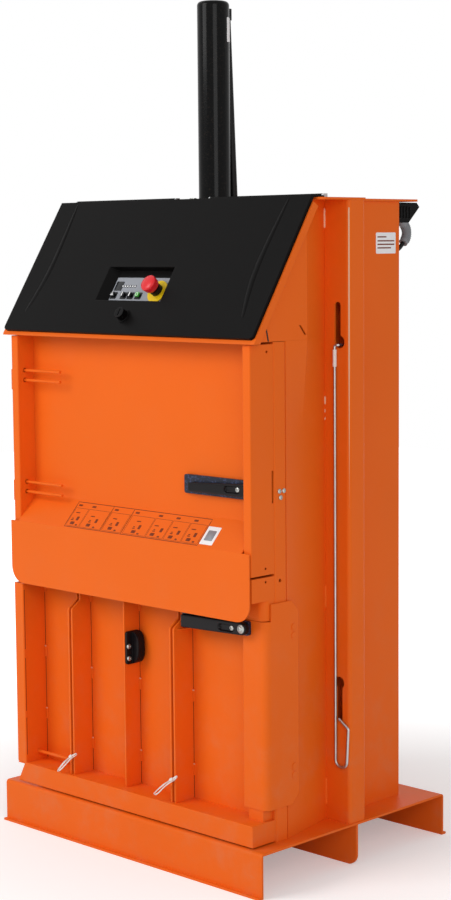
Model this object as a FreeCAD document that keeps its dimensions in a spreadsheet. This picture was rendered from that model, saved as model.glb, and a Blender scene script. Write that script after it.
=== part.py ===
import FreeCAD, Part
import math
import os
import re

import Sketcher
from FreeCAD import Placement, Rotation, Vector

# A free-standing baling press for card and film: a bale chamber on a base with
# fork pockets, two doors hung on the left, a tilting hood with the controls and
# an upright hydraulic cylinder. The origin is on the floor under the middle of
# the base, x runs to the right, y to the back and z up. Sizes are millimetres.

SIZES = [
    # Base
    ("base_width", 865, "base, left to right"),
    ("base_depth", 650, "base, front to back over the toes"),
    ("base_height", 100, "top of the base above the floor"),
    ("base_sheet", 5, "sheet of the base"),
    ("base_toe", 10, "toe that turns out along the foot of each flange"),
    ("skid_sheet", 6, "skid under the middle of the base"),
    ("skid_corner", 25, "round of the skid's lower corners"),
    # Chamber
    ("wall_face", 357.5, "middle of the press to the outside of a side wall"),
    ("wall_sheet", 4, "sheet of the side walls"),
    ("wall_back", 235, "back edge of the side walls"),
    ("wall_top", 1500, "top edge of the walls above the floor"),
    ("lean_fade", 1000, "height at which the side skins start to turn out to the cheeks"),
    ("back_sheet", 4, "sheet of the back wall"),
    ("floor_top", 150, "chamber floor above the ground"),
    ("floor_sheet", 4, "sheet of the chamber floor"),
    ("floor_gap", 4, "chamber floor behind the lower door"),
    ("groove_width", 20, "strap groove in the chamber floor"),
    ("groove_depth", 24, "depth of a strap groove"),
    ("groove_sheet", 3, "sheet of a strap groove"),
    ("left_strap", -209.5, "left strap line from the middle of the press"),
    ("right_strap", 136.5, "right strap line from the middle of the press"),
    # Posts and columns
    ("post_front", -230, "front face of the posts"),
    ("post_depth", 38, "post, front to back"),
    ("post_face", 396.5, "middle of the press to the outside of a post"),
    ("post_sheet", 4, "sheet of the posts"),
    ("post_top", 1197, "top of the posts"),
    ("post_hole_height", 680, "bolt hole in the right post above the floor"),
    ("post_hole_back", 17, "bolt hole behind the front of the post"),
    ("post_hole_radius", 4, "bolt hole in the right post"),
    ("side_hole_radius", 3, "small holes in the right cheek and bracket"),
    ("side_hole_y", -257, "those small holes, front to back"),
    ("cheek_hole_low", 711, "lower hole in the upper door's right cheek"),
    ("cheek_hole_high", 1177, "upper hole in that cheek"),
    ("cheek_hole_high_y", -250, "that upper hole, front to back"),
    ("bracket_hole_height", 682, "hole in the end of the stop bracket"),
    ("latch_slit_low", 851, "slit at the back edge of that cheek"),
    ("latch_slit_high", 921, "slit at the back edge of that cheek"),
    ("latch_slit_depth", 6, "slit at the back edge of that cheek"),
    ("column_front", -21, "front face of the columns"),
    ("column_depth", 56, "column, front to back"),
    ("column_face", 429.5, "middle of the press to the outside of a column"),
    ("column_sheet", 5, "sheet of the columns"),
    ("column_corner", 9, "outside bend of the columns"),
    ("slot_width", 18, "keyhole slot, side to side"),
    ("upper_slot_middle", 395.5, "upper slot from the middle of the press"),
    ("upper_slot_low", 1190, "foot of the upper slot"),
    ("upper_slot_high", 1277, "head of the upper slot"),
    ("upper_hole_middle", 401.5, "round of the upper keyhole"),
    ("upper_hole_height", 1188.6, "round of the upper keyhole above the floor"),
    ("keyhole_radius", 14, "round part of a keyhole"),
    ("lower_slot_middle", 398.5, "lower keyhole from the middle of the press"),
    ("lower_slot_low", 333, "foot of the lower slot"),
    ("lower_hole_height", 421, "round of the lower keyhole above the floor"),
    # Header
    ("rail_low", 1150, "underside of the rail between the posts"),
    ("rail_sheet", 4, "wall of the rail between the posts"),
    ("front_sheet", 4, "sheet that closes the chamber above the doors"),
    ("front_slack", 6, "that sheet behind the sloping edge of the walls"),
    # Top
    ("top_sheet", 5, "top plate"),
    ("top_front", -107, "front edge of the top plate"),
    ("top_back", 312, "back edge of the top plate"),
    ("top_corner", 18, "corner of the top plate"),
    ("top_overhang", 5, "top plate beyond the side walls behind the columns"),
    # Hood
    ("hood_foot_y", -312.3, "front edge of the hood"),
    ("hood_foot_z", 1208, "front edge of the hood above the floor"),
    ("hood_tilt", 32.446, "lean of the hood from upright, degrees"),
    ("hood_length", 357, "hood, up its slope"),
    ("hood_half", 411, "half the width of the hood cover"),
    ("hood_thick", 25, "hood cover and tray together"),
    ("hood_gap", 1, "hood above the walls and cheeks"),
    ("shell_thick", 8, "shell of the hood cover"),
    ("shell_corner", 10, "lower corners of the hood cover"),
    ("flange_run", 40, "flat flange at the head of the hood cover"),
    ("flange_thick", 3.9, "that flange"),
    ("tray_half", 416, "half the width of the tray under the cover"),
    ("tray_lip", 11, "tray in front of the hood cover"),
    ("lip_drop", 13, "flat foot of the tray below the front edge of the hood"),
    ("tray_top", 345, "head of the tray, up the slope"),
    ("tray_sheet", 3, "sheet of the tray"),
    ("tray_corner", 6, "lower corners of the tray"),
    ("pocket_left", -130, "control pocket"),
    ("pocket_right", 86, "control pocket"),
    ("pocket_low", 86, "control pocket, up the slope"),
    ("pocket_high", 175, "control pocket, up the slope"),
    ("pocket_depth", 20, "control pocket"),
    ("pocket_wall", 4, "wall of the control pocket"),
    ("pocket_slant", 22, "how far the pocket's left wall leans in"),
    ("pocket_slack", 3, "opening of the tray round the pocket"),
    ("hood_barrel_radius", 4, "barrels at the head of the hood"),
    ("hood_rod_radius", 2.5, "rods in those barrels"),
    ("hood_barrel_start", 60, "inner end of a hood barrel"),
    ("hood_barrel_length", 340, "hood barrel"),
    ("hood_lug_thick", 5, "lug that carries a hood rod"),
    ("hood_lug_gap", 1, "lugs beside a hood barrel"),
    ("hood_lug_depth", 12, "lug that carries a hood rod, front to back"),
    # Controls
    ("panel_left", -108, "control panel"),
    ("panel_right", 84, "control panel"),
    ("panel_low", 90, "control panel, up the slope"),
    ("panel_high", 157, "control panel, up the slope"),
    ("panel_thick", 2, "control panel"),
    ("button_row", 110, "middle of the push buttons, up the slope"),
    ("first_button_x", -97, "middle of the first push button"),
    ("second_button_x", -63, "middle of the second push button"),
    ("third_button_x", -40, "middle of the third push button"),
    ("start_button_x", -14, "middle of the start button"),
    ("button_cap", 11, "side of a push button"),
    ("button_rise", 7, "top of a push button above the panel"),
    ("button_travel", 2, "travel of a push button"),
    ("button_stem", 3, "radius of a push button's stem"),
    ("button_round", 2, "corners of a push button"),
    ("button_slack", 1, "gap left under a pressed button"),
    ("button_reach", 12, "stem below the panel's face"),
    ("stop_x", 44, "middle of the stop button"),
    ("stop_u", 122, "middle of the stop button, up the slope"),
    ("stop_plate_half", 40, "half the width of the plate under the stop button"),
    ("stop_plate_low", 94, "that plate, up the slope"),
    ("stop_plate_high", 150, "that plate, up the slope"),
    ("stop_plate_thick", 3, "that plate"),
    ("collar_radius", 15, "collar of the stop button"),
    ("collar_height", 11, "collar of the stop button"),
    ("stop_stem", 8, "radius of the stop button's stem"),
    ("stop_reach", 4, "stem of the stop button below the pocket"),
    ("stop_head", 20, "radius of the stop button's head"),
    ("stop_head_thick", 22, "head of the stop button"),
    ("stop_travel", 5, "travel of the stop button"),
    ("lock_x", -10, "middle of the hood lock"),
    ("lock_u", 45, "middle of the hood lock, up the slope"),
    ("lock_radius", 13, "turning part of the hood lock"),
    ("lock_bezel", 17, "ring round the hood lock"),
    ("lock_bezel_rise", 4, "ring above the hood cover"),
    ("lock_rise", 18, "turning part above the hood cover"),
    ("lock_slot", 3, "slot across the turning part"),
    ("lock_slot_half", 9, "half the length of that slot"),
    ("lock_reach", 4, "lock behind the hood cover"),
    # Cheeks under the hood
    ("cheek_low", 1198, "lower edge of the cheeks"),
    ("cheek_back", -122, "back edge of the cheeks"),
    ("cheek_slot_high_y", -145, "upper end of the slanted slot in a cheek"),
    ("cheek_slot_high", 1230, "upper end of that slot above the floor"),
    ("cheek_slot_low_y", -128, "lower end of that slot"),
    ("cheek_slot_low", 1209, "lower end of that slot above the floor"),
    ("cheek_slot_width", 6, "that slot"),
    ("cheek_sheet", 4, "sheet of the cheeks"),
    # Cylinder and press
    ("cylinder_y", -3, "axis of the cylinder"),
    ("tube_radius", 37.5, "outside of the cylinder"),
    ("bore_radius", 31, "bore of the cylinder"),
    ("tube_low", 1300, "foot of the cylinder"),
    ("tube_high", 1965, "head of the cylinder"),
    ("tube_cap", 22, "closed head of the cylinder"),
    ("gland_height", 28, "gland round the piston rod"),
    ("head_round", 10, "round of the cylinder's head"),
    ("flange_radius", 62, "flange that stands on the top plate"),
    ("cylinder_flange", 6, "thickness of that flange"),
    ("flange_bolt_circle", 51, "bolts round the cylinder flange"),
    ("rod_radius", 20, "piston rod"),
    ("piston_height", 46, "piston"),
    ("piston_rest", 6, "piston below the head of the bore at rest"),
    ("seat_gap", 0.3, "between a round end and what it meets"),
    ("running_gap", 0.05, "running fit of a round part in its bore"),
    ("press_low", 1230, "underside of the press plate at rest"),
    ("press_sheet", 12, "press plate"),
    ("press_half", 347, "half the width of the press plate"),
    ("press_front", -185, "front edge of the press plate"),
    ("press_back", 230, "back edge of the press plate"),
    ("beam_height", 40, "beams on the press plate"),
    ("beam_half", 50, "outer side of the beams from the rod's axis"),
    ("beam_wide", 26, "width of each beam"),
    ("beam_short", 20, "beams inside the sides of the press plate"),
    ("press_groove", 5, "strap groove under the press plate"),
    ("fitting_stand", 20, "low fitting of the hose behind the back wall"),
    ("fitting_block", 8, "half the width of the block at the head of the hose"),
    ("fitting_lift", 6, "that block above the foot of its fitting"),
    # Doors
    ("door_gap", 0.5, "doors in front of the posts"),
    ("door_sheet", 3, "sheet of the doors"),
    ("door_front", -302, "front of the doors' cheeks and sill"),
    ("upper_half", 395.5, "middle of the press to the side of the upper door"),
    ("upper_top", 1193, "top of the upper door"),
    ("upper_low", 697, "foot of the upper door's cheeks"),
    ("strip_width", 23, "front strip of the upper door's cheeks"),
    ("panel_face", -253, "front of the upper door's panel"),
    ("chute_top", 808, "where the panel turns out into the chute"),
    ("fold_height", 748, "where the chute turns down into the apron"),
    ("apron_front", -309, "front of the apron"),
    ("apron_left", 400.5, "left edge of the apron from the middle"),
    ("apron_low", 597, "lower edge of the apron"),
    ("apron_corner", 40, "lower corners of the apron"),
    ("bar_radius", 3.5, "hinge bars on the upper door"),
    ("bar_hole", 5.5, "holes that the hinge bars pass"),
    ("bar_y", -280, "hinge bars where they pass the cheek"),
    ("bar_end", -243, "right ends of the hinge bars"),
    ("lower_top", 594, "top of the lower door"),
    ("lower_left", 402.5, "left edge of the lower door from the middle"),
    ("hinge_channel", 32, "channel along the left edge of the lower door"),
    ("sill_low", 103.5, "underside of the sill"),
    ("sill_top", 151, "top of the sill"),
    ("sill_slant", 24, "slant of the sill's left end"),
    ("sill_left", 397.5, "left end of the sill from the middle"),
    ("sill_front", -304, "front of the sill"),
    # Ribs
    ("rib_sheet", 5, "sheet of the strap ribs"),
    ("rib_width", 17, "strap rib over both plates"),
    ("rib_front", -292, "front of the strap ribs"),
    ("rib_set_back", -266, "front of the strap ribs beside the handle"),
    ("rib_bend_low", 551, "start of the set-back"),
    ("rib_bend_high", 569, "end of the set-back"),
    ("rib_bend", 8, "bends of the set-back"),
    ("middle_rib_x", -31.5, "right side of the middle rib"),
    ("middle_rib_front", -281, "front of the middle rib"),
    ("middle_rib_sheet", 4, "sheet of the middle rib"),
    ("strap_slot", 7, "strap slot in the lower door"),
    ("tab_height", 28, "weld tabs of the ribs"),
    ("tab_width", 7, "weld tabs beside a rib"),
    ("tab_thick", 3, "weld tabs in front of the door's skin"),
    ("tab_low", 205, "foot of the lowest weld tab"),
    ("tab_middle", 376, "foot of the middle weld tab"),
    ("tab_high", 562, "foot of the highest weld tab"),
    ("shelf_reach", 16, "small shelf on the right strap rib"),
    ("shelf_height", 546, "that shelf above the floor"),
    ("shelf_sheet", 3, "that shelf"),
    ("slot_margin", 20, "strap slot above the sill"),
    ("slot_crown", 40, "strap slot below the top of the lower door"),
    # Latch cover
    ("cover_left", 330.5, "left side of the latch cover"),
    ("cover_right", 400.5, "right side of the latch cover"),
    ("cover_front", -264, "front of the latch cover"),
    ("cover_back", -160, "back edge of the latch cover"),
    ("cover_low", 176, "foot of the latch cover"),
    ("cover_high", 632, "head of the latch cover's side"),
    ("cover_bend", 18, "front bend of the latch cover"),
    ("cover_sheet", 3.5, "sheet of the latch cover"),
    ("cover_round", 22, "back corners of the latch cover"),
    ("foot_left", 344.5, "foot under the latch cover"),
    ("foot_right", 387.5, "foot under the latch cover"),
    ("foot_front", -262, "foot under the latch cover"),
    ("foot_height", 45, "foot under the latch cover"),
    ("boss_radius", 8, "round dimples in the latch cover's side"),
    ("boss_back", -174, "those dimples"),
    ("boss_rise", 1.5, "those dimples above the sheet"),
    ("upper_boss_z", 563, "middle of the upper pair of dimples"),
    ("lower_boss_z", 251, "middle of the lower pair of dimples"),
    ("boss_pitch", 19, "between the dimples of a pair"),
    # Door stop
    ("bracket_left", 330.5, "left end of the stop bracket"),
    ("bracket_right", 395.5, "right end of the stop bracket"),
    ("bracket_front", -301, "front of the stop bracket"),
    ("bracket_low", 640, "underside of the stop bracket"),
    ("bracket_high", 692, "top of the stop bracket"),
    ("bracket_sheet", 3, "sheet of the stop bracket"),
    ("skirt_gap", 1, "skirt of the stop bracket above the lower door"),
    # Door hinges
    ("hinge_x", -411, "axis of the doors"),
    ("hinge_y", -280, "axis of the doors"),
    ("knuckle_radius", 8, "knuckles of the door hinges"),
    ("knuckle_height", 24, "knuckles of the door hinges"),
    ("knuckle_gap", 0.5, "between a lug and the knuckle on it"),
    ("pin_radius", 4, "pins of the door hinges"),
    ("leaf_sheet", 4, "leaf of a door knuckle"),
    ("lug_sheet", 5, "lug of a door hinge"),
    ("lug_back", -196, "back end of a hinge lug"),
    ("lug_lap", 4, "hinge lug behind the front of its post"),
    ("lug_inset", 1, "arm of a lug inside the right side of its knuckle"),
    ("upper_hinge_high", 1086, "top of an upper-door lug"),
    ("upper_hinge_low", 817, "top of an upper-door lug"),
    ("lower_hinge_high", 500, "top of a lower-door lug"),
    ("lower_hinge_low", 200, "top of a lower-door lug"),
    ("bar_pitch", 23.5, "between the two hinge bars of a pair"),
    # Handles
    ("handle_x", 347, "axis of the handles"),
    ("upper_handle_z", 877, "axis of the upper handle"),
    ("lower_handle_z", 577, "axis of the lower handle"),
    ("handle_plate_left", 152, "left end of a handle plate"),
    ("handle_plate_right", 366, "right end of the upper handle plate"),
    ("handle_plate_thick", 8, "handle plate"),
    ("handle_plate_rise", 21, "handle plate above the axis"),
    ("handle_plate_drop", 21, "handle plate below the axis"),
    ("lower_plate_rise", 16, "lower handle plate above the axis"),
    ("plate_corner", 5, "corners of a handle plate"),
    ("upper_lever_left", 176, "tip of the upper lever"),
    ("lower_lever_left", 160, "tip of the lower lever"),
    ("lever_thick", 12, "lever, front to back"),
    ("lever_gap", 2, "lever in front of its plate"),
    ("lever_end", 14, "round end of a lever"),
    ("upper_tip_rise", 5, "top of the upper lever's tip above the axis"),
    ("upper_tip_drop", 14, "foot of the upper lever's tip below the axis"),
    ("lower_tip_rise", 9, "top of the lower lever's tip above the axis"),
    ("lower_tip_drop", 20, "foot of the lower lever's tip below the axis"),
    ("recess_rise", 7, "half the height of the recess"),
    ("recess_round", 6.5, "round ends of the recess"),
    ("tongue_corner", 4, "end corners of a latch tongue"),
    ("recess_middle", 307, "oval recess in a lever"),
    ("recess_half", 17, "half the length of the recess"),
    ("recess_depth", 6, "oval recess in a lever"),
    ("spindle_radius", 5, "spindle of a handle"),
    ("tongue_gap", 2.5, "tongue behind the posts' front flange"),
    ("tongue_thick", 6, "latch tongue"),
    ("tongue_reach", 33, "latch tongue from its axis"),
    ("tongue_half", 8, "half the width of a latch tongue"),
    # Strap clip on the middle rib
    ("clip_low", 441, "strap clip"),
    ("clip_high", 519, "strap clip"),
    ("clip_front", -280, "strap clip"),
    ("clip_back", -238, "strap clip"),
    ("clip_plate", 6, "mounting plate of the strap clip"),
    ("clip_chamfer", 12, "cut corner of that plate"),
    ("clip_body_front", -264, "body of the strap clip"),
    ("clip_thick", 26, "body of the strap clip, with its plate"),
    ("clip_waist", 12, "foot of that body"),
    # Strap bar by the left strap rib
    ("strap_bar_radius", 4, "bar between the channel and the left rib"),
    ("strap_bar_z", 173, "that bar above the floor"),
    ("strap_bar_y", -262, "that bar"),
    # Hose
    ("hose_radius", 8.5, "hydraulic hose"),
    ("hose_top_x", -1, "hose beside the head of the cylinder"),
    ("hose_low_x", 17, "hose where it passes the top plate"),
    ("hose_y", 44, "hose behind the cylinder"),
    ("hose_top", 1925, "upper end of the hose"),
    ("hose_turn", 1430, "height at which the hose runs to the back"),
    ("hose_bend", 70, "bend of the hose"),
    ("hose_sweep", 200, "bend of the hose over the top plate"),
    ("hose_hole", 9.5, "holes that the hose passes"),
    ("fitting_height", 26, "fitting at an end of the hose"),
    ("fitting_radius", 11, "fitting at an end of the hose"),
    # Power pack behind the back wall
    ("tank_left", -270, "oil tank"),
    ("tank_right", -20, "oil tank"),
    ("tank_low", 1300, "oil tank"),
    ("tank_high", 1480, "oil tank"),
    ("tank_depth", 76, "oil tank"),
    ("tank_corner", 10, "edges of the oil tank"),
    ("motor_left", 60, "motor"),
    ("motor_right", 230, "motor"),
    ("motor_radius", 40, "motor"),
    ("motor_stand", 2, "motor behind the back wall"),
    ("motor_z", 1440, "axis of the motor"),
    ("motor_fin", 3, "depth of the motor's fins"),
    ("motor_first_fin", 6, "first fin from the motor's left end"),
    ("motor_fin_pitch", 20, "between the motor's fins"),
    ("motor_fin_width", 8, "each fin of the motor"),
    ("motor_foot_half", 20, "half the height of the motor's foot"),
    ("motor_foot_start", 40, "foot from the motor's left end"),
    ("motor_foot_length", 90, "foot of the motor"),
    ("housing_left", 296, "plug housing"),
    ("housing_right", 347, "plug housing"),
    ("housing_back", 329, "plug housing"),
    ("housing_low", 1452, "plug housing"),
    ("housing_high", 1498, "plug housing"),
    ("housing_slope_back", 290, "lower back corner of the plug housing"),
    ("housing_chamfer", 10, "cut edge at the head of the plug housing"),
    ("housing_margin", 10, "ribs inside the housing's side"),
    ("housing_rib", 2, "ribs on the housing's side"),
    ("housing_first_rib", 8, "first rib from the wall"),
    ("housing_rib_pitch", 11, "between those ribs"),
    ("housing_rib_width", 5, "each of those ribs"),
    ("conduit_radius", 10.5, "ribbed conduit"),
    ("conduit_start", 39, "conduit behind the back wall where it starts"),
    ("conduit_bulge", 68, "conduit behind the back wall at its bend"),
    ("conduit_end", 42, "conduit behind the back wall where it ends"),
    ("conduit_turn", 22, "bend of the conduit below its start"),
    ("conduit_drop", 47, "end of the conduit below its start"),
    ("conduit_bend", 24, "bend of the conduit"),
    ("cable_run", 26, "cable from the conduit to its bend"),
    ("cable_bend", 40, "bend of the motor cable"),
    ("cable_radius", 5, "motor cable"),
    ("cable_x", 335, "motor cable"),
    ("junction_x", 313, "round junction body"),
    ("junction_radius", 14, "round junction body"),
    ("junction_low", 1398, "round junction body"),
    ("junction_high", 1441, "round junction body"),
    # Screws
    ("screw_head", 5, "head of a casing screw"),
    ("screw_rise", 2.5, "head of a casing screw"),
    ("latch_screw_y", -207, "screws beside the latch slit, front to back"),
    ("latch_screw_z", 875, "screws beside the latch slit"),
    ("latch_screw_pitch", 14, "between those screws"),
    ("hood_screw_y", -199, "screws in the cheek under the hood, front to back"),
    ("hood_screw_z", 1342, "upper screw in that cheek"),
    ("hood_screw_pitch", 24, "between the screws in that cheek"),
    ("bolt_head", 8, "head of a bolt in the cylinder flange"),
    ("bolt_rise", 2.5, "head of a bolt in the cylinder flange"),
    # Threading tool
    ("tool_radius", 3, "rod of the threading tool"),
    ("tool_x", 391, "upright of the threading tool"),
    ("tool_tip_x", 428.5, "returning leg of the threading tool"),
    ("tool_high", 1182, "head of the threading tool"),
    ("tool_low", 229, "foot of the threading tool"),
    ("tool_gap", 0.3, "threading tool in front of the column"),
    ("hook_run", 10, "hook of the threading tool, to the side"),
    ("hook_reach", 17, "hook of the threading tool, into the keyhole"),
    ("hook_bend", 4.5, "bends of the hook"),
    ("loop_turn", 15, "bend at the foot of the loop"),
    ("loop_side", 5, "foot of the loop short of its returning leg"),
    ("loop_high", 320, "head of the returning leg"),
    ("loop_end_run", 28, "end of the loop from its returning leg"),
    ("loop_end_rise", 20, "end of the loop above the returning leg"),
    ("loop_bend", 5, "bend at the head of the returning leg"),
    ("sleeve_low", 1134, "sleeve on the threading tool"),
    ("sleeve_high", 1172, "sleeve on the threading tool"),
    ("sleeve_sheet", 1.4, "wall of that sleeve"),
]

doc = FreeCAD.newDocument("BalingPress")
sheet = doc.addObject("Spreadsheet::Sheet", "Sizes")
for row, (alias, size, meaning) in enumerate(SIZES, start=1):
    sheet.set(f"A{row}", meaning)
    sheet.set(f"B{row}", str(size))
    sheet.setAlias(f"B{row}", alias)
doc.recompute()

FUNCTIONS = ("sin", "cos", "tan")
ROLES = {"XY": "XY_Plane", "XZ": "XZ_Plane", "YZ": "YZ_Plane"}
TURNS = {
    "X": Rotation(Vector(0, 1, 0), 90),
    "Y": Rotation(Vector(1, 0, 0), -90),
    "Z": Rotation(),
}


# ---------------------------------------------------------------- helpers


def formula(text):
    """Return the text as an expression, with each size read from the sheet."""
    def sized(match):
        word = match.group(0)
        return word if word in FUNCTIONS else "Sizes." + word
    return re.sub(r"[a-z][a-z_]*", sized, str(text))


def value(text):
    """Return the number that a formula gives with the present sizes."""
    result = sheet.evalExpression(formula(text))
    return float(getattr(result, "Value", result))


def minus(text):
    """Return the formula of the mirrored coordinate."""
    return f"-({text})"


def both(side, text):
    """Return the formula of a distance from the middle, on the given side."""
    return text if side == "right" else minus(text)


def span(side, inner, outer):
    """Return where a thickness starts along x, and how long it is, on the given side."""
    start = inner if side == "right" else minus(outer)
    return start, f"({outer}) - ({inner})"


def new_body(label):
    """Add an empty body whose label is the name of its file."""
    item = doc.addObject("PartDesign::Body", label)
    item.Label = label
    return item


def place_on_slope(item):
    """Turn a body so that its x, y and z run across, up and out of the hood's slope."""
    item.Placement = Placement(Vector(), Rotation(Vector(1, 0, 0), 1))
    item.setExpression("Placement.Base.y", formula("hood_foot_y"))
    item.setExpression("Placement.Base.z", formula("hood_foot_z"))
    item.setExpression("Placement.Rotation.Angle", formula("90 - hood_tilt"))
    return item


def sketch_on(item, plane, position):
    """Add a sketch to a body, parallel to one of its planes at a position along the third axis."""
    sketch = item.newObject("Sketcher::SketchObject", "Sketch")
    origin = [part for part in item.Origin.OriginFeatures if part.Role == ROLES[plane]][0]
    sketch.AttachmentSupport = [(origin, "")]
    sketch.MapMode = "FlatFace"
    offset = minus(position) if plane == "XZ" else position
    sketch.setExpression("AttachmentOffset.Base.z", formula(offset))
    return sketch


def pin_down(sketch, line, end, along, up):
    """Fix a point of a sketch by the formulas of its two coordinates."""
    for kind, text in (("DistanceX", along), ("DistanceY", up)):
        index = sketch.addConstraint(Sketcher.Constraint(kind, -1, 1, line, end, value(text)))
        sketch.setExpression(f"Constraints[{index}]", formula(text))


def draw_outline(sketch, corners, rounds=None):
    """Draw a closed outline through corners given as formulas, and round the numbered ones."""
    points = [Vector(value(along), value(up), 0) for along, up in corners]
    lines = []
    for index, point in enumerate(points):
        following = points[(index + 1) % len(points)]
        lines.append(sketch.addGeometry(Part.LineSegment(point, following)))
    for index, line in enumerate(lines):
        sketch.addConstraint(Sketcher.Constraint("Coincident", lines[index - 1], 2, line, 1))
        pin_down(sketch, line, 1, *corners[index])
    for index, radius in (rounds or {}).items():
        sketch.fillet(lines[index], 1, value(radius), True, True)
        arc = max(
            number for number in range(sketch.GeometryCount)
            if isinstance(sketch.Geometry[number], Part.ArcOfCircle)
        )
        bend = sketch.addConstraint(Sketcher.Constraint("Radius", arc, value(radius)))
        sketch.setExpression(f"Constraints[{bend}]", formula(radius))


def draw_circle(sketch, along, up, radius):
    """Draw a circle by the formulas of its centre and radius."""
    centre = Vector(value(along), value(up), 0)
    circle = sketch.addGeometry(Part.Circle(centre, Vector(0, 0, 1), value(radius)))
    pin_down(sketch, circle, 3, along, up)
    index = sketch.addConstraint(Sketcher.Constraint("Radius", circle, value(radius)))
    sketch.setExpression(f"Constraints[{index}]", formula(radius))


def finish_feature(item, kind, sketch, length):
    """Make a pad or a pocket from a sketch that has been drawn."""
    feature = item.newObject("PartDesign::" + kind, kind)
    feature.Profile = sketch
    feature.setExpression("Length", formula(length))
    sketch.Visibility = False
    return feature


def add_plate(item, plane, start, length, corners, rounds=None):
    """Add material inside an outline, from start onwards along the plane's third axis."""
    position = f"({start}) + ({length})" if plane == "XZ" else start
    sketch = sketch_on(item, plane, position)
    draw_outline(sketch, corners, rounds)
    return finish_feature(item, "Pad", sketch, length)


def add_frame(item, plane, start, length, outer, inner, rounds=None, inner_rounds=None):
    """Add a closed tube: the material between two outlines."""
    position = f"({start}) + ({length})" if plane == "XZ" else start
    sketch = sketch_on(item, plane, position)
    draw_outline(sketch, outer, rounds)
    draw_outline(sketch, inner, inner_rounds)
    return finish_feature(item, "Pad", sketch, length)


def add_discs(item, plane, start, length, centres, radius):
    """Add one round piece at each centre."""
    position = f"({start}) + ({length})" if plane == "XZ" else start
    sketch = sketch_on(item, plane, position)
    for along, up in centres:
        draw_circle(sketch, along, up, radius)
    return finish_feature(item, "Pad", sketch, length)


def cut_plate(item, plane, start, length, corners, rounds=None):
    """Cut away what is inside an outline, from start onwards along the third axis."""
    position = start if plane == "XZ" else f"({start}) + ({length})"
    sketch = sketch_on(item, plane, position)
    draw_outline(sketch, corners, rounds)
    return finish_feature(item, "Pocket", sketch, length)


def cut_discs(item, plane, start, length, centres, radius):
    """Cut one round hole at each centre."""
    position = start if plane == "XZ" else f"({start}) + ({length})"
    sketch = sketch_on(item, plane, position)
    for along, up in centres:
        draw_circle(sketch, along, up, radius)
    return finish_feature(item, "Pocket", sketch, length)


def add_loft(item, low, low_corners, high, high_corners):
    """Add material between two level outlines with the same number of corners."""
    sketches = []
    for height, corners in ((low, low_corners), (high, high_corners)):
        sketch = sketch_on(item, "XY", height)
        draw_outline(sketch, corners)
        sketch.Visibility = False
        sketches.append(sketch)
    feature = item.newObject("PartDesign::AdditiveLoft", "Loft")
    feature.Profile = sketches[0]
    feature.Sections = sketches[1:]
    feature.Ruled = True
    return feature


def turn_profile(item, corners, rounds=None):
    """Turn a half section, drawn in x and z, once round the body's z axis."""
    sketch = sketch_on(item, "XZ", "0")
    draw_outline(sketch, corners, rounds)
    feature = item.newObject("PartDesign::Revolution", "Revolution")
    feature.Profile = sketch
    feature.ReferenceAxis = (sketch, ["V_Axis"])
    feature.Angle = 360
    sketch.Visibility = False
    return feature


def box(left, right, low, high):
    """Return the corners of a rectangle, counter-clockwise from its lower left one."""
    return [(left, low), (right, low), (right, high), (left, high)]


def all_corners(radius):
    """Return the rounds of a rectangle with four like corners."""
    return {index: radius for index in range(4)}


def add_shape(label, shape):
    """Add a finished shape as an object of its own."""
    item = doc.addObject("Part::Feature", label)
    item.Label = label
    item.Shape = shape
    return item


# ---------------------------------------------------------------- base and chamber


def base_plate():
    """Folded sheet: top, two flanges down to the floor and a toe along each."""
    item = new_body("base_plate")
    flange = "base_depth / 2 - base_toe"
    inside = f"{flange} - base_sheet"
    toe = "base_depth / 2"
    underside = "base_height - base_sheet"
    corners = [
        (minus(toe), "0"), (minus(toe), "base_sheet"), (minus(flange), "base_sheet"),
        (minus(flange), "base_height"), (flange, "base_height"), (flange, "base_sheet"),
        (toe, "base_sheet"), (toe, "0"), (inside, "0"), (inside, underside),
        (minus(inside), underside), (minus(inside), "0"),
    ]
    rounds = {3: "base_sheet * 1.6", 4: "base_sheet * 1.6"}
    add_plate(item, "YZ", "-base_width / 2", "base_width", corners, rounds)


def middle_skid():
    """Plate on edge between the two fork pockets."""
    item = new_body("middle_skid")
    outline = box("-base_width / 2", "base_width / 2", "0", "base_height - base_sheet")
    rounds = {0: "skid_corner", 1: "skid_corner"}
    add_plate(item, "XZ", "-skid_sheet / 2", "skid_sheet", outline, rounds)


def slope_y(height, behind="0"):
    """Return where the sloping edge under the hood stands at a height."""
    edge = "hood_foot_y + (hood_thick + hood_gap) / cos(hood_tilt)"
    return f"{edge} + ({behind}) + (({height}) - hood_foot_z) * tan(hood_tilt)"


def slope_z(across, behind="0"):
    """Return the height at which that sloping edge reaches a depth."""
    edge = "hood_foot_y + (hood_thick + hood_gap) / cos(hood_tilt)"
    return f"hood_foot_z + (({across}) - ({edge}) - ({behind})) / tan(hood_tilt)"


def side_wall(side):
    """Side of the chamber under the hood's slope, with the skin that closes its outside."""
    item = new_body(side + "_side_wall")
    start, length = span(side, "wall_face - wall_sheet", "wall_face")
    front = "post_front + post_depth"
    corners = [
        (front, "base_height"), ("wall_back", "base_height"), ("wall_back", "wall_top"),
        (slope_y("wall_top"), "wall_top"), (front, slope_z(front)),
    ]
    add_plate(item, "YZ", start, length, corners)
    lean = "(post_face - wall_face) / (column_front - post_front - post_depth)"
    straight = f"wall_face + (column_front - cheek_back) * {lean}"
    add_plate(item, "XY", "base_height", "lean_fade - base_height", skin_section(side, straight))
    add_loft(item, "lean_fade", skin_section(side, straight),
             "cheek_low", skin_section(side, "post_face"))


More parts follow.
